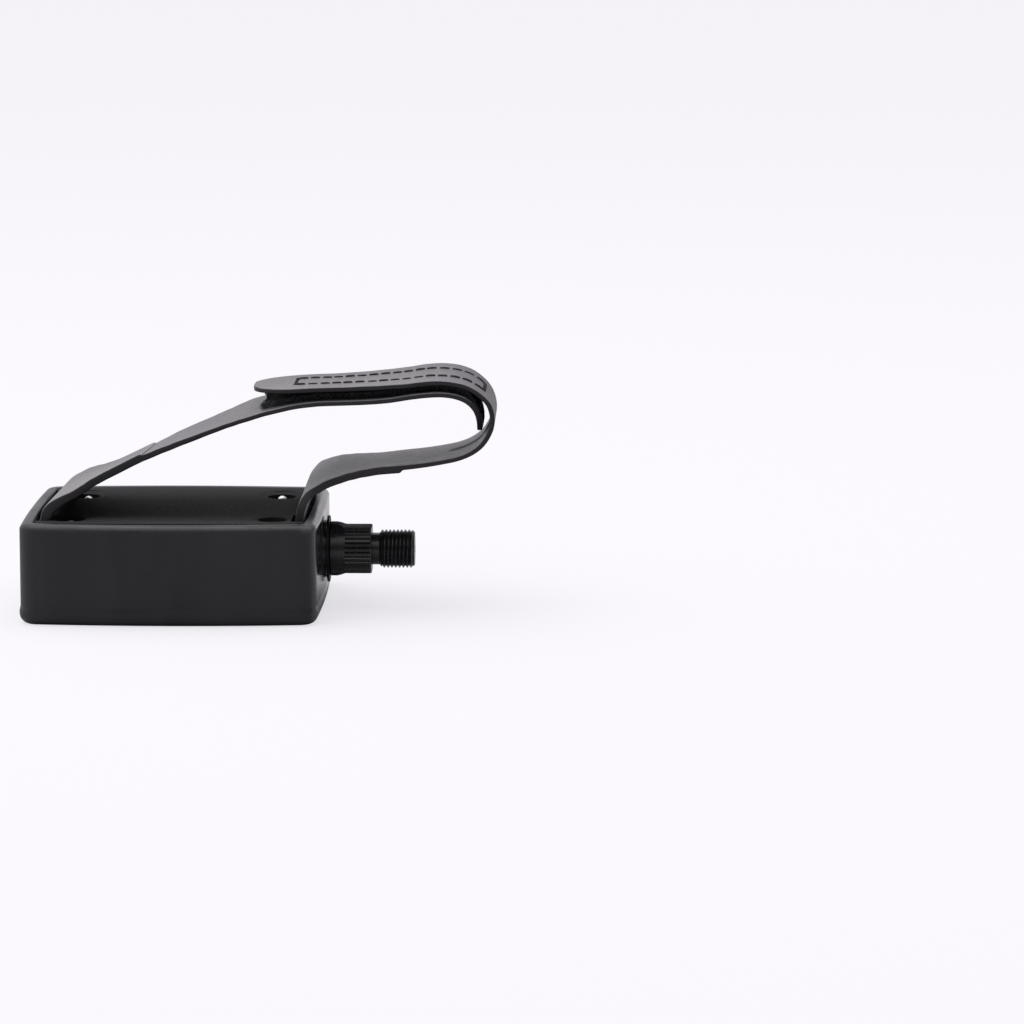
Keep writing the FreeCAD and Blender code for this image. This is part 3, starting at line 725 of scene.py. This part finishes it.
def makePile():
    draw = random.Random(7)
    start = lengthAt(outerLine, lambda p: p.x > pileForm["startX"])
    end = lengthAt(outerLine, lambda p: p.x > pileForm["tailX"] and p.z < pileForm["tailZ"])
    thinFrom = lengthAt(outerLine, lambda p: p.x > pileForm["thinFromX"])
    bottom = strapForm["band"]
    top = bottom + pileForm["thickness"]
    patch = flatPatch("loopPile", start, end, bottom, top)
    for vert in patch.data.vertices:
        along = (vert.co.x - start) / pileForm["ragged"]
        edge = max(0, 1 - along / pileForm["raggedReach"])
        hollow = 1 - (vert.co.y / patchForm["half"]) ** 2
        uneven = pileForm["raggedShare"] * draw.uniform(-1, 1)
        vert.co.x += edge * pileForm["ragged"] * (hollow + uneven)
        vert.co.y += draw.uniform(-1, 1) * pileForm["sideUneven"]
        if vert.co.z > (bottom + top) / 2:
            thin = smoothStep((vert.co.x - thinFrom) / pileForm["thinRun"])
            drop = thin * (pileForm["thickness"] - pileForm["tailThickness"])
            vert.co.z -= drop + draw.uniform(0, pileForm["topUneven"])
    pile = joinAll([patch, makeLoops(draw, start, thinFrom, bottom, top)], "loopPile")
    bendAlong(pile, outerGuide)
    facesOutward(pile)
    smoothFinish(pile, 60)
    return pile


def makeTape():
    start = lengthAt(innerLine, lambda p: p.x < tapeForm["turnX"] and p.z > tapeForm["flapZ"])
    end = lengthUntil(innerLine, lambda p: p.x > tapeForm["startX"])
    tape = flatPatch("hookTape", start, end, -tapeForm["thickness"], 0)
    bendAlong(tape, innerGuide)
    facesOutward(tape)
    smoothFinish(tape)
    return tape


pile = makePile()
tape = makeTape()
for guide in (outerGuide, innerGuide):
    bpy.data.objects.remove(guide)
print("pile and tape laid:", len(pile.data.polygons), len(tape.data.polygons))


# Spindle: turned by pulling a ring along the axis, then milled, serrated and threaded

spindleForm = {
    "axisZ": 18.65 * mm,
    "sides": 96,
    "profile": [
        (-42.4, 3.3), (-41.7, 4.0), (-28.76, 4.0), (-28.76, 4.575), (36.8, 4.575), (37.6, 4.75),
        (38.25, 5.2), (38.65, 5.8), (38.825, 6.6), (38.825, 6.5), (50.45, 6.5), (50.45, 8.5), (50.95, 9.0),
        (63.85, 9.0), (64.35, 8.5), (64.35, 5.3), (66.85, 5.3), (67.75, 6.35), (77.65, 6.35), (78.55, 5.45),
        (78.55, 1.6), (76.95, 0.05),
    ],
    "flatHalf": 7.5 * mm,
    "flatStart": 55.65 * mm,
    "slopeStart": 52.45 * mm,
    "collarRadius": 9.0 * mm,
    "collarEnd": 64.35 * mm,
    "serrationStep": 10.186,
    "serrationCount": 5,
    "serrationDepth": 0.45 * mm,
    "pitch": 1.27 * mm,
    "threadRoot": 5.6 * mm,
    "threadTop": 6.42 * mm,
    "threadWidth": 1.14 * mm,
    "threadStart": 66.15 * mm,
    "turns": 10.5,
    "stepsPerTurn": 48,
    "millReach": 30.0 * mm,
    "overrun": 1.0 * mm,
}


def turnedBlank():
    profile = [(x * mm, r * mm) for x, r in spindleForm["profile"]]
    blank = addShape(
        bpy.ops.mesh.primitive_circle_add,
        vertices=spindleForm["sides"], radius=profile[0][1], fill_type="NGON",
    )
    openMesh(blank)
    turnPicked(math.pi / 2, "Y")
    movePicked(profile[0][0], 0, 0)
    for (x, r), (nextX, nextR) in zip(profile, profile[1:]):
        bpy.ops.mesh.extrude_region_move(TRANSFORM_OT_translate={"value": (nextX - x, 0, 0)})
        bpy.ops.transform.resize(value=(1, nextR / r, nextR / r), center_override=(nextX, 0, 0))
    closeMesh()
    facesOutward(blank)
    return blank


def flatCutter(side):
    # Block with a sloped end, for one wrench flat
    reach = spindleForm["millReach"]
    start = spindleForm["flatStart"]
    length = spindleForm["collarEnd"] + spindleForm["overrun"] - start
    middle = start + length / 2
    cutter = addShape(bpy.ops.mesh.primitive_cube_add, size=1)
    openMesh(cutter)
    bpy.ops.transform.resize(value=(length, reach, reach))
    movePicked(middle, 0, side * (spindleForm["flatHalf"] + reach / 2))
    pickVerts(cutter, lambda co: co.x < middle and abs(co.z) > reach / 2)
    rise = spindleForm["collarRadius"] - spindleForm["flatHalf"]
    run = (start - spindleForm["slopeStart"]) / rise
    movePicked(-run * reach, 0, 0)
    closeMesh()
    facesOutward(cutter)
    return cutter


def serrationCutter():
    # V-grooves along the collar, between the two flats
    grooves = []
    depth = spindleForm["serrationDepth"]
    start = spindleForm["flatStart"]
    length = spindleForm["collarEnd"] + spindleForm["overrun"] - start
    count = spindleForm["serrationCount"]
    for half in (0, math.pi):
        for i in range(-count, count + 1):
            angle = half + math.radians(i * spindleForm["serrationStep"])
            groove = addShape(bpy.ops.mesh.primitive_cylinder_add, vertices=4, radius=2 * depth, depth=length)
            openMesh(groove)
            turnPicked(math.pi / 2, "Y")
            movePicked(start + length / 2, spindleForm["collarRadius"] + depth, 0)
            closeMesh()
            groove.data.transform(Matrix.Rotation(angle, 4, "X"))
            grooves.append(groove)
    return joinAll(grooves, "serrations")


def threadCutter():
    # Left-hand V-groove: a triangle carried round the axis, a pitch for each turn
    root, top, width = spindleForm["threadRoot"], spindleForm["threadTop"], spindleForm["threadWidth"]
    steps = int(spindleForm["turns"] * spindleForm["stepsPerTurn"])
    verts = []
    faces = []
    for i in range(steps + 1):
        angle = -2 * math.pi * i / spindleForm["stepsPerTurn"]
        x = spindleForm["threadStart"] + spindleForm["pitch"] * i / spindleForm["stepsPerTurn"]
        for shift, radius in ((0, root), (width / 2, top), (-width / 2, top)):
            verts.append((x + shift, radius * math.cos(angle), radius * math.sin(angle)))
    for i in range(steps):
        for k in range(3):
            a, b = 3 * i + k, 3 * i + (k + 1) % 3
            faces.append((a, b, b + 3, a + 3))
    faces += [(2, 1, 0), (3 * steps, 3 * steps + 1, 3 * steps + 2)]
    mesh = bpy.data.meshes.new("threadCutter")
    mesh.from_pydata(verts, [], faces)
    cutter = placeObject("threadCutter", mesh)
    facesOutward(cutter)
    return cutter


def makeSpindle():
    blank = turnedBlank()
    for side in (-1, 1):
        cutAway(blank, flatCutter(side))
    cutAway(blank, serrationCutter())
    cutAway(blank, threadCutter())
    openMesh(blank)
    movePicked(0, 0, spindleForm["axisZ"])
    closeMesh()
    blank.name = "threadedSpindle"
    smoothFinish(blank, 32)
    return blank


spindle = makeSpindle()
print("spindle cut:", len(spindle.data.polygons))


# Rounded screw ends in the wells of the tread

studForm = {
    "radius": 1.7 * mm,
    "foot": 28.2 * mm,
    "tops": [(-32.3, 26, 31.95), (33, 26, 32.2), (-33, -24, 31.75), (33, -24.5, 31.0)],
}


def makeStuds():
    studs = []
    radius = studForm["radius"]
    for x, y, top in studForm["tops"]:
        stud = addShape(bpy.ops.mesh.primitive_uv_sphere_add, segments=32, ring_count=16, radius=radius)
        middle = top * mm - radius
        openMesh(stud)
        movePicked(x * mm, y * mm, middle)
        pickVerts(stud, lambda co: co.z < middle - tiny)
        movePicked(0, 0, studForm["foot"] + radius - middle)
        closeMesh()
        studs.append(stud)
    joined = joinAll(studs, "screwStuds")
    smoothFinish(joined, 50)
    return joined


studs = makeStuds()
print("screw ends set:", len(studs.data.polygons))


# Finishes: patterns laid on each piece by its own coordinates; an owner is a material or the sky

def setInputs(node, values):
    for name, value in values.items():
        node.inputs[name].default_value = value


def newFinish(name, colour, roughness, metallic=0.0, specular=0.5):
    material = bpy.data.materials.new(name)
    material.use_nodes = True
    tree = material.node_tree
    setInputs(tree.nodes["Principled BSDF"], {
        "Base Color": (*colour, 1),
        "Roughness": roughness,
        "Metallic": metallic,
        "Specular IOR Level": specular,
    })
    place = tree.nodes.new("ShaderNodeTexCoord")
    place.name = "place"
    return material


def feed(material, value, inputName):
    tree = material.node_tree
    tree.links.new(value, tree.nodes["Principled BSDF"].inputs[inputName])


def noiseOn(material, scale, detail, stretch=(1, 1, 1)):
    tree = material.node_tree
    turn = tree.nodes.new("ShaderNodeMapping")
    turn.inputs["Scale"].default_value = stretch
    noise = tree.nodes.new("ShaderNodeTexNoise")
    setInputs(noise, {"Scale": scale, "Detail": detail, "Roughness": 0.5})
    tree.links.new(tree.nodes["place"].outputs["Object"], turn.inputs["Vector"])
    tree.links.new(turn.outputs["Vector"], noise.inputs["Vector"])
    return noise.outputs["Fac"]


def spread(owner, factor, low, high, start=0.3, end=0.7, smooth=False):
    # Carries a pattern's values from start to end over to a range from low to high
    tree = owner.node_tree
    ranged = tree.nodes.new("ShaderNodeMapRange")
    if smooth:
        ranged.interpolation_type = "SMOOTHSTEP"
    setInputs(ranged, {"From Min": start, "From Max": end, "To Min": low, "To Max": high})
    tree.links.new(factor, ranged.inputs["Value"])
    return ranged.outputs["Result"]


def tint(material, factor, *colours):
    # Runs from the first colour to the second over the middle of a pattern
    tree = material.node_tree
    ramp = tree.nodes.new("ShaderNodeValToRGB")
    for i, position in enumerate((0.35, 0.65)):
        ramp.color_ramp.elements[i].position = position
        ramp.color_ramp.elements[i].color = (*colours[i], 1)
    tree.links.new(factor, ramp.inputs["Fac"])
    feed(material, ramp.outputs["Color"], "Base Color")


def bumps(material, layers):
    # Stacks height patterns: each layer is (height, distance in metres)
    tree = material.node_tree
    previous = None
    for height, distance in layers:
        bump = tree.nodes.new("ShaderNodeBump")
        setInputs(bump, {"Strength": 1.0, "Distance": distance})
        tree.links.new(height, bump.inputs["Height"])
        if previous:
            tree.links.new(previous, bump.inputs["Normal"])
        previous = bump.outputs["Normal"]
    feed(material, previous, "Normal")


def blend(material, factor, colour):
    # Lays a colour over the base colour that is already linked
    tree = material.node_tree
    below = tree.nodes["Principled BSDF"].inputs["Base Color"].links[0].from_socket
    over = tree.nodes.new("ShaderNodeMix")
    over.data_type = "RGBA"
    over.inputs["B"].default_value = (*colour, 1)
    tree.links.new(factor, over.inputs["Factor"])
    tree.links.new(below, over.inputs["A"])
    feed(material, over.outputs["Result"], "Base Color")


def joinValues(owner, operation, first, second=None):
    node = owner.node_tree.nodes.new("ShaderNodeMath")
    node.operation = operation
    owner.node_tree.links.new(first, node.inputs[0])
    if second:
        owner.node_tree.links.new(second, node.inputs[1])
    return node.outputs["Value"]


def overlap(material, first, *others):
    # Where all these masks meet
    for mask in others:
        first = joinValues(material, "MULTIPLY", first, mask)
    return first


def placeOn(material):
    tree = material.node_tree
    split = tree.nodes.new("ShaderNodeSeparateXYZ")
    tree.links.new(tree.nodes["place"].outputs["Object"], split.inputs["Vector"])
    return split.outputs


def attributeOn(material, name):
    node = material.node_tree.nodes.new("ShaderNodeAttribute")
    node.attribute_name = name
    return node.outputs["Fac"]


shellLook = {
    "streaks": ((0.0056, 0.0053, 0.0076), (0.0104, 0.0098, 0.0133)),
    "rim": (30.2 * mm, 32.0 * mm),
    "rimColour": (0.022, 0.021, 0.0245),
    "insideFrom": (-42.2 * mm, -41.0 * mm),
    "insideTo": (-40.0 * mm, -39.0 * mm),
    "gapShadeColour": (0.003, 0.003, 0.0034),
    "crankEnd": (42.5 * mm, 45.0 * mm),
    "paintedHighlightColour": (0.11, 0.107, 0.114),
    "endWall": (46.4 * mm, 47.7 * mm),
    "floorReflectionFoot": (6.0 * mm, 14.0 * mm),
    "paintedReflectionColour": (0.075, 0.073, 0.078),
    "glossyEnd": (45.6 * mm, 47.4 * mm),
}


def shellPlastic():
    # Satin moulding, mottled along the top of the rim and glossier at the crank end, with painted shade at
    # the rim's inner front edge, painted highlight streaks on the rim and a painted reflection on the end
    # wall at the crank end
    look = shellLook
    material = newFinish("shellPlastic", (0.0105, 0.0099, 0.0133), 0.45, specular=0.42)
    cloud = noiseOn(material, 45, 3)
    grain = noiseOn(material, 2600, 2)
    tint(material, noiseOn(material, 60, 3, (1, 1, 0.12)), *look["streaks"])
    at = placeOn(material)
    onRim = spread(material, at["Z"], 0, 1, *look["rim"])
    mottle = spread(material, noiseOn(material, 520, 3), 0.1, 0.9, 0.3, 0.75)
    blend(material, overlap(material, onRim, mottle), look["rimColour"])
    # Painted shade: the inner edge of the front rim is painted near-black where it meets the tread, standing
    # in for the shadow in the gap
    insideFrom = spread(material, at["Y"], 0, 1, *look["insideFrom"])
    insideTo = spread(material, at["Y"], 1, 0, *look["insideTo"])
    blend(material, overlap(material, onRim, insideFrom, insideTo), look["gapShadeColour"])
    # Painted highlight: lighter streaks on the rim top at the crank end stand in for the backdrop reflected
    # there
    atEnd = spread(material, at["X"], 0, 1, *look["crankEnd"])
    paintedHighlight = spread(material, noiseOn(material, 240, 3, (0.3, 1.5, 1)), 0.2, 1, 0.35, 0.7)
    blend(material, overlap(material, onRim, atEnd, paintedHighlight), look["paintedHighlightColour"])
    # Painted reflection: the crank-end wall is painted lighter in vertical streaks, strongest near its foot,
    # standing in for the floor reflected in it
    endWall = spread(material, at["X"], 0, 1, *look["endWall"])
    endStreaks = spread(material, noiseOn(material, 330, 3, (1, 1, 0.12)), 0.4, 1, 0.35, 0.7)
    floorReflectionFoot = spread(material, at["Z"], 1, 0.4, *look["floorReflectionFoot"])
    blend(material, overlap(material, endWall, endStreaks, floorReflectionFoot), look["paintedReflectionColour"])
    satin = spread(material, cloud, 0.40, 0.54)
    polish = spread(material, at["X"], 0, 0.3, *look["glossyEnd"])
    feed(material, joinValues(material, "SUBTRACT", satin, polish), "Roughness")
    bumps(material, [(cloud, 0.10 * mm), (grain, 0.012 * mm)])
    return material


treadLook = {
    "cloud": ((0.0048, 0.0048, 0.0052), (0.0078, 0.0077, 0.0081)),
    "paintedLightSpan": (14.0 * mm, 42.0 * mm),
    "paintedLightColour": (0.030, 0.0295, 0.031),
    "speckColour": (0.026, 0.026, 0.027),
    "frontMargin": (-39.8 * mm, -38.4 * mm),
    "gapShadeOnTread": (0.0025, 0.0025, 0.0028),
}


def treadPlastic():
    # Darkest along the middle of the dish, with painted light towards its front and back and painted shade
    # along its front edge
    look = treadLook
    material = newFinish("treadPlastic", (0.007, 0.007, 0.0076), 0.8, specular=0.05)
    grain = noiseOn(material, 1800, 3)
    tint(material, noiseOn(material, 30, 4), *look["cloud"])
    depth = placeOn(material)["Y"]
    # Painted light: the dish is painted lighter towards its front and back, where it would catch more light
    apart = joinValues(material, "ABSOLUTE", depth)
    blend(material, spread(material, apart, 0, 1, *look["paintedLightSpan"]), look["paintedLightColour"])
    blend(material, spread(material, noiseOn(material, 620, 4), 0, 0.5, 0.55, 0.8), look["speckColour"])
    # Painted shade: the front edge of the tread is painted near-black, standing in for the shadow in the gap
    # at the rim
    blend(material, spread(material, depth, 0.9, 0, *look["frontMargin"]), look["gapShadeOnTread"])
    feed(material, spread(material, grain, 0.72, 0.90), "Roughness")
    bumps(material, [(grain, 0.04 * mm)])
    return material


vinylLook = {
    "sheen": (0.985, 0.945, 1.0, 1),
    "cloud": ((0.100, 0.095, 0.107), (0.130, 0.121, 0.125)),
    "lineColour": (0.17, 0.163, 0.172),
    "farSide": (-4.0 * mm, 19.0 * mm),
    "paintedShadeFarColour": (0.060, 0.057, 0.064),
    "nearSide": (-18.5 * mm, -9.0 * mm),
    "paintedLightNearColour": (0.19, 0.182, 0.193),
    "flapShadowFrom": (-18.0 * mm, 12.0 * mm),
    "flapShadowTo": (36.0 * mm, 56.0 * mm),
    "flapShadowBelow": (68.5 * mm, 69.7 * mm),
    "flapShadowColour": (0.056, 0.053, 0.058),
    "coreColour": (0.023, 0.022, 0.0245),
    "paintedHighlightColour": (0.165, 0.158, 0.17),
    "paintedUndersideShade": (0.004, 0.004, 0.0044),
}


def strapVinyl():
    # Grey coated faces on a black core that shows at the cut edges, with painted light and shade laid over
    # the faces and corners
    look = vinylLook
    material = newFinish("strapVinyl", (0.115, 0.111, 0.119), 0.5, specular=0.4)
    material.node_tree.nodes["Principled BSDF"].inputs["Specular Tint"].default_value = look["sheen"]
    cloud = noiseOn(material, 28, 4)
    fine = noiseOn(material, 700, 4)
    grain = noiseOn(material, 2800, 2)
    lines = noiseOn(material, 420, 3, (0.12, 1, 0.12))
    tint(material, cloud, *look["cloud"])
    blend(material, spread(material, lines, 0, 0.45, 0.5, 0.75), look["lineColour"])
    at = placeOn(material)
    # Painted light and shade: the straps are painted darker towards the back and lighter towards the front
    blend(material, spread(material, at["Y"], 0, 0.42, *look["farSide"]), look["paintedShadeFarColour"])
    blend(material, spread(material, at["Y"], 0.3, 0, *look["nearSide"]), look["paintedLightNearColour"])
    # Painted shadow: the outer strap below the flap is painted darker, where the flap shades it
    flapShadowFrom = spread(material, at["X"], 0, 0.5, *look["flapShadowFrom"])
    flapShadowTo = spread(material, at["X"], 1, 0, *look["flapShadowTo"])
    below = spread(material, at["Z"], 1, 0, *look["flapShadowBelow"])
    blend(material, overlap(material, flapShadowFrom, flapShadowTo, below), look["flapShadowColour"])
    edge = attributeOn(material, "edgeShare")
    blend(material, edge, look["coreColour"])
    # Painted highlight on corners that look up, painted shade on corners that look down
    cornerLight = attributeOn(material, "cornerLightShare")
    blend(material, spread(material, cornerLight, 0, 1, 0, 1), look["paintedHighlightColour"])
    blend(material, spread(material, cornerLight, 1, 0, -1, 0), look["paintedUndersideShade"])
    feed(material, spread(material, edge, 0.4, 0.2, 0, 1), "Specular IOR Level")
    feed(material, spread(material, fine, 0.42, 0.56), "Roughness")
    bumps(material, [(cloud, 0.08 * mm), (fine, 0.02 * mm), (grain, 0.008 * mm)])
    return material


platedLook = {
    "cloud": ((0.0115, 0.0115, 0.0130), (0.0170, 0.0168, 0.0182)),
    "flatSkin": (0.1 * mm, 0.2 * mm),
}


def platedSteel():
    # Glossy where it was turned, matt on the two milled wrench flats
    material = newFinish("platedSteel", (0.012, 0.012, 0.0135), 0.24, specular=0.4)
    turning = noiseOn(material, 900, 3, (6, 0.4, 0.4))
    tint(material, noiseOn(material, 120, 3), *platedLook["cloud"])
    height = placeOn(material)["Z"]
    thin, thick = platedLook["flatSkin"]
    lowFlat = spindleForm["axisZ"] - spindleForm["flatHalf"]
    highFlat = spindleForm["axisZ"] + spindleForm["flatHalf"]
    low = spread(material, height, 1, 0, lowFlat + thin, lowFlat + thick)
    high = spread(material, height, 0, 1, highFlat - thick, highFlat - thin)
    flats = joinValues(material, "MAXIMUM", low, high)
    gloss = spread(material, turning, 0.18, 0.32)
    feed(material, joinValues(material, "MAXIMUM", gloss, spread(material, flats, 0, 0.7, 0, 1)), "Roughness")
    feed(material, spread(material, flats, 0.4, 0.1, 0, 1), "Specular IOR Level")
    bumps(material, [(turning, 0.004 * mm)])
    return material


def clouded(material, pattern, colours, low, high):
    # The same pattern for colour and roughness
    tint(material, pattern, *colours)
    feed(material, spread(material, pattern, low, high), "Roughness")
    return material


def sealPlastic():
    material = newFinish("sealPlastic", (0.007, 0.007, 0.0076), 0.45, specular=0.25)
    colours = ((0.0055, 0.0055, 0.006), (0.0085, 0.0085, 0.0092))
    return clouded(material, noiseOn(material, 300, 3), colours, 0.42, 0.58)


def zincScrew():
    material = newFinish("zincScrew", (0.5, 0.5, 0.52), 0.34, metallic=1.0)
    colours = ((0.42, 0.42, 0.45), (0.58, 0.57, 0.56))
    return clouded(material, noiseOn(material, 500, 4), colours, 0.26, 0.46)


def groundSteel(name, low, high):
    material = newFinish(name, (0.5, 0.5, 0.51), 0.3, metallic=1.0)
    colours = ((0.44, 0.44, 0.46), (0.56, 0.56, 0.57))
    return clouded(material, noiseOn(material, 1200, 3, (5, 0.5, 0.5)), colours, low, high)


def yarnFinish(name, colour, darker):
    material = newFinish(name, colour, 0.92, specular=0.15)
    fuzz = noiseOn(material, 1600, 3)
    tint(material, fuzz, darker, colour)
    bumps(material, [(fuzz, 0.08 * mm)])
    return material


vinyl = strapVinyl()
shell = shellPlastic()
plated = platedSteel()
bearing = groundSteel("groundSteel", 0.22, 0.36)
balls = groundSteel("polishedBalls", 0.06, 0.12)
zinc = zincScrew()
pileYarn = yarnFinish("loopPileYarn", (0.080, 0.077, 0.083), (0.018, 0.018, 0.019))
tapeYarn = yarnFinish("hookTapeYarn", (0.009, 0.009, 0.010), (0.004, 0.004, 0.0045))
thread = yarnFinish("stitchThread", (0.034, 0.033, 0.036), (0.016, 0.016, 0.017))

finishes = {
    "body_shell": shell,
    "end_cap": shell,
    "tread_plate": treadPlastic(),
    "deck_screws": zinc,
    "dust_seal": sealPlastic(),
    "inboard_cup": bearing,
    "outboard_cup": bearing,
    "adjusting_cone": bearing,
    "lock_washer": bearing,
    "lock_nut": bearing,
    "inboard_balls": balls,
    "outboard_balls": balls,
}
for name, material in finishes.items():
    cadNodes[name].data.materials.clear()
    cadNodes[name].data.materials.append(material)

dressed = [
    (outerStrap, vinyl, "outer_strap", "strap_vinyl", "pedal"),
    (innerStrap, vinyl, "inner_strap", "strap_vinyl", "pedal"),
    (pile, pileYarn, "loop_patch", "loop_pile", "pedal"),
    (tape, tapeYarn, "hook_patch", "hook_tape", "pedal"),
    (spindle, plated, "spindle", "black_steel", "spindle"),
    (studs, zinc, None, "screw_steel", "pedal"),
    (stitching, thread, None, "hook_tape", "pedal"),
]
for piece, material, node, slot, body in dressed:
    piece.data.materials.clear()
    piece.data.materials.append(material)
    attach(piece, body)
    if node:
        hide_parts(node)
print("finishes given to", len(finishes) + len(dressed), "pieces")


# Studio: pale floor, soft sky that is darker on the camera's side, and a panel overhead

studio = {
    "floorSize": 200.0,
    "floorColour": (0.52, 0.512, 0.53),
    "glowColour": (0.957, 0.939, 0.983),
    "glowShare": 0.72,
    "shadeColour": (0.70, 0.688, 0.715),
    "skyColour": (0.985, 0.975, 1.0),
    "skyDepth": (-0.75, 0.35),
    "skyFront": 0.1,
    "skyBack": 0.62,
    "skyHeight": (0.25, 0.85),
    "skyTop": 1.1,
    "skyAcross": (-0.9, 0.9),
    "skyLeft": 1.95,
    "skyRight": 0.65,
    "panelPower": 10.0,
    "panelPlace": (-0.2, 0.12, 1.5),
    "panelAim": (0.03, 0, 0.03),
    "panelSize": 1.4,
}


def showCamera(tree, lit, seen, output):
    # The camera sees one shader, and all other light meets the lit one
    ray = tree.nodes.new("ShaderNodeLightPath")
    choice = tree.nodes.new("ShaderNodeMixShader")
    tree.links.new(ray.outputs["Is Camera Ray"], choice.inputs["Fac"])
    tree.links.new(lit, choice.inputs[1])
    tree.links.new(seen, choice.inputs[2])
    tree.links.new(choice.outputs["Shader"], tree.nodes[output].inputs["Surface"])


def makeFloor():
    floor = addShape(bpy.ops.mesh.primitive_plane_add, size=studio["floorSize"])
    floor.name = "floor"
    material = newFinish("floorPaper", studio["floorColour"], 0.9, specular=0.0)
    tree = material.node_tree
    glow = tree.nodes.new("ShaderNodeEmission")
    setInputs(glow, {"Color": (*studio["glowColour"], 1)})
    shade = tree.nodes.new("ShaderNodeBsdfDiffuse")
    setInputs(shade, {"Color": (*studio["shadeColour"], 1)})
    seen = tree.nodes.new("ShaderNodeMixShader")
    seen.inputs["Fac"].default_value = studio["glowShare"]
    tree.links.new(shade.outputs["BSDF"], seen.inputs[1])
    tree.links.new(glow.outputs["Emission"], seen.inputs[2])
    lit = tree.nodes["Principled BSDF"]
    showCamera(tree, lit.outputs["BSDF"], seen.outputs["Shader"], "Material Output")
    floor.data.materials.append(material)


def makeSky():
    world = bpy.data.worlds.new("sky")
    bpy.context.scene.world = world
    world.use_nodes = True
    tree = world.node_tree
    place = tree.nodes.new("ShaderNodeTexCoord")
    split = tree.nodes.new("ShaderNodeSeparateXYZ")
    tree.links.new(place.outputs["Generated"], split.inputs["Vector"])
    at = split.outputs
    depth = spread(world, at["Y"], studio["skyFront"], studio["skyBack"], *studio["skyDepth"], smooth=True)
    height = spread(world, at["Z"], 0, 1, *studio["skyHeight"], smooth=True)
    across = spread(world, at["X"], studio["skyLeft"], studio["skyRight"], *studio["skyAcross"], smooth=True)
    mix = tree.nodes.new("ShaderNodeMix")
    mix.inputs["B"].default_value = studio["skyTop"]
    tree.links.new(height, mix.inputs["Factor"])
    tree.links.new(depth, mix.inputs["A"])
    lit = tree.nodes["Background"]
    setInputs(lit, {"Color": (*studio["skyColour"], 1)})
    tree.links.new(joinValues(world, "MULTIPLY", mix.outputs["Result"], across), lit.inputs["Strength"])
    seen = tree.nodes.new("ShaderNodeBackground")
    setInputs(seen, {"Color": (*studio["glowColour"], 1)})
    showCamera(tree, lit.outputs["Background"], seen.outputs["Background"], "World Output")


def makePanel():
    light = bpy.data.lights.new("overheadPanel", "AREA")
    light.shape = "SQUARE"
    light.size = studio["panelSize"]
    light.energy = studio["panelPower"]
    panel = placeObject("overheadPanel", light)
    panel.location = studio["panelPlace"]
    aim = Vector(studio["panelAim"]) - Vector(studio["panelPlace"])
    panel.rotation_euler = aim.to_track_quat("-Z", "Y").to_euler()


view = {
    "place": (0.13794, -1.555125, 0.278032),
    "tilt": 80.9756,
    "turn": 1.0031,
    "lens": 167.33,
    "sensor": 36.0,
    "clipEnd": 300.0,
}


def makeCamera():
    data = bpy.data.cameras.new("photoView")
    data.lens = view["lens"]
    data.sensor_width = view["sensor"]
    data.clip_end = view["clipEnd"]
    camera = placeObject("photoView", data)
    camera.location = view["place"]
    camera.rotation_euler = (math.radians(view["tilt"]), 0, math.radians(view["turn"]))
    bpy.context.scene.camera = camera


makeFloor()
makeSky()
makePanel()
makeCamera()
bpy.context.scene.view_settings.view_transform = "Standard"
print("studio set")
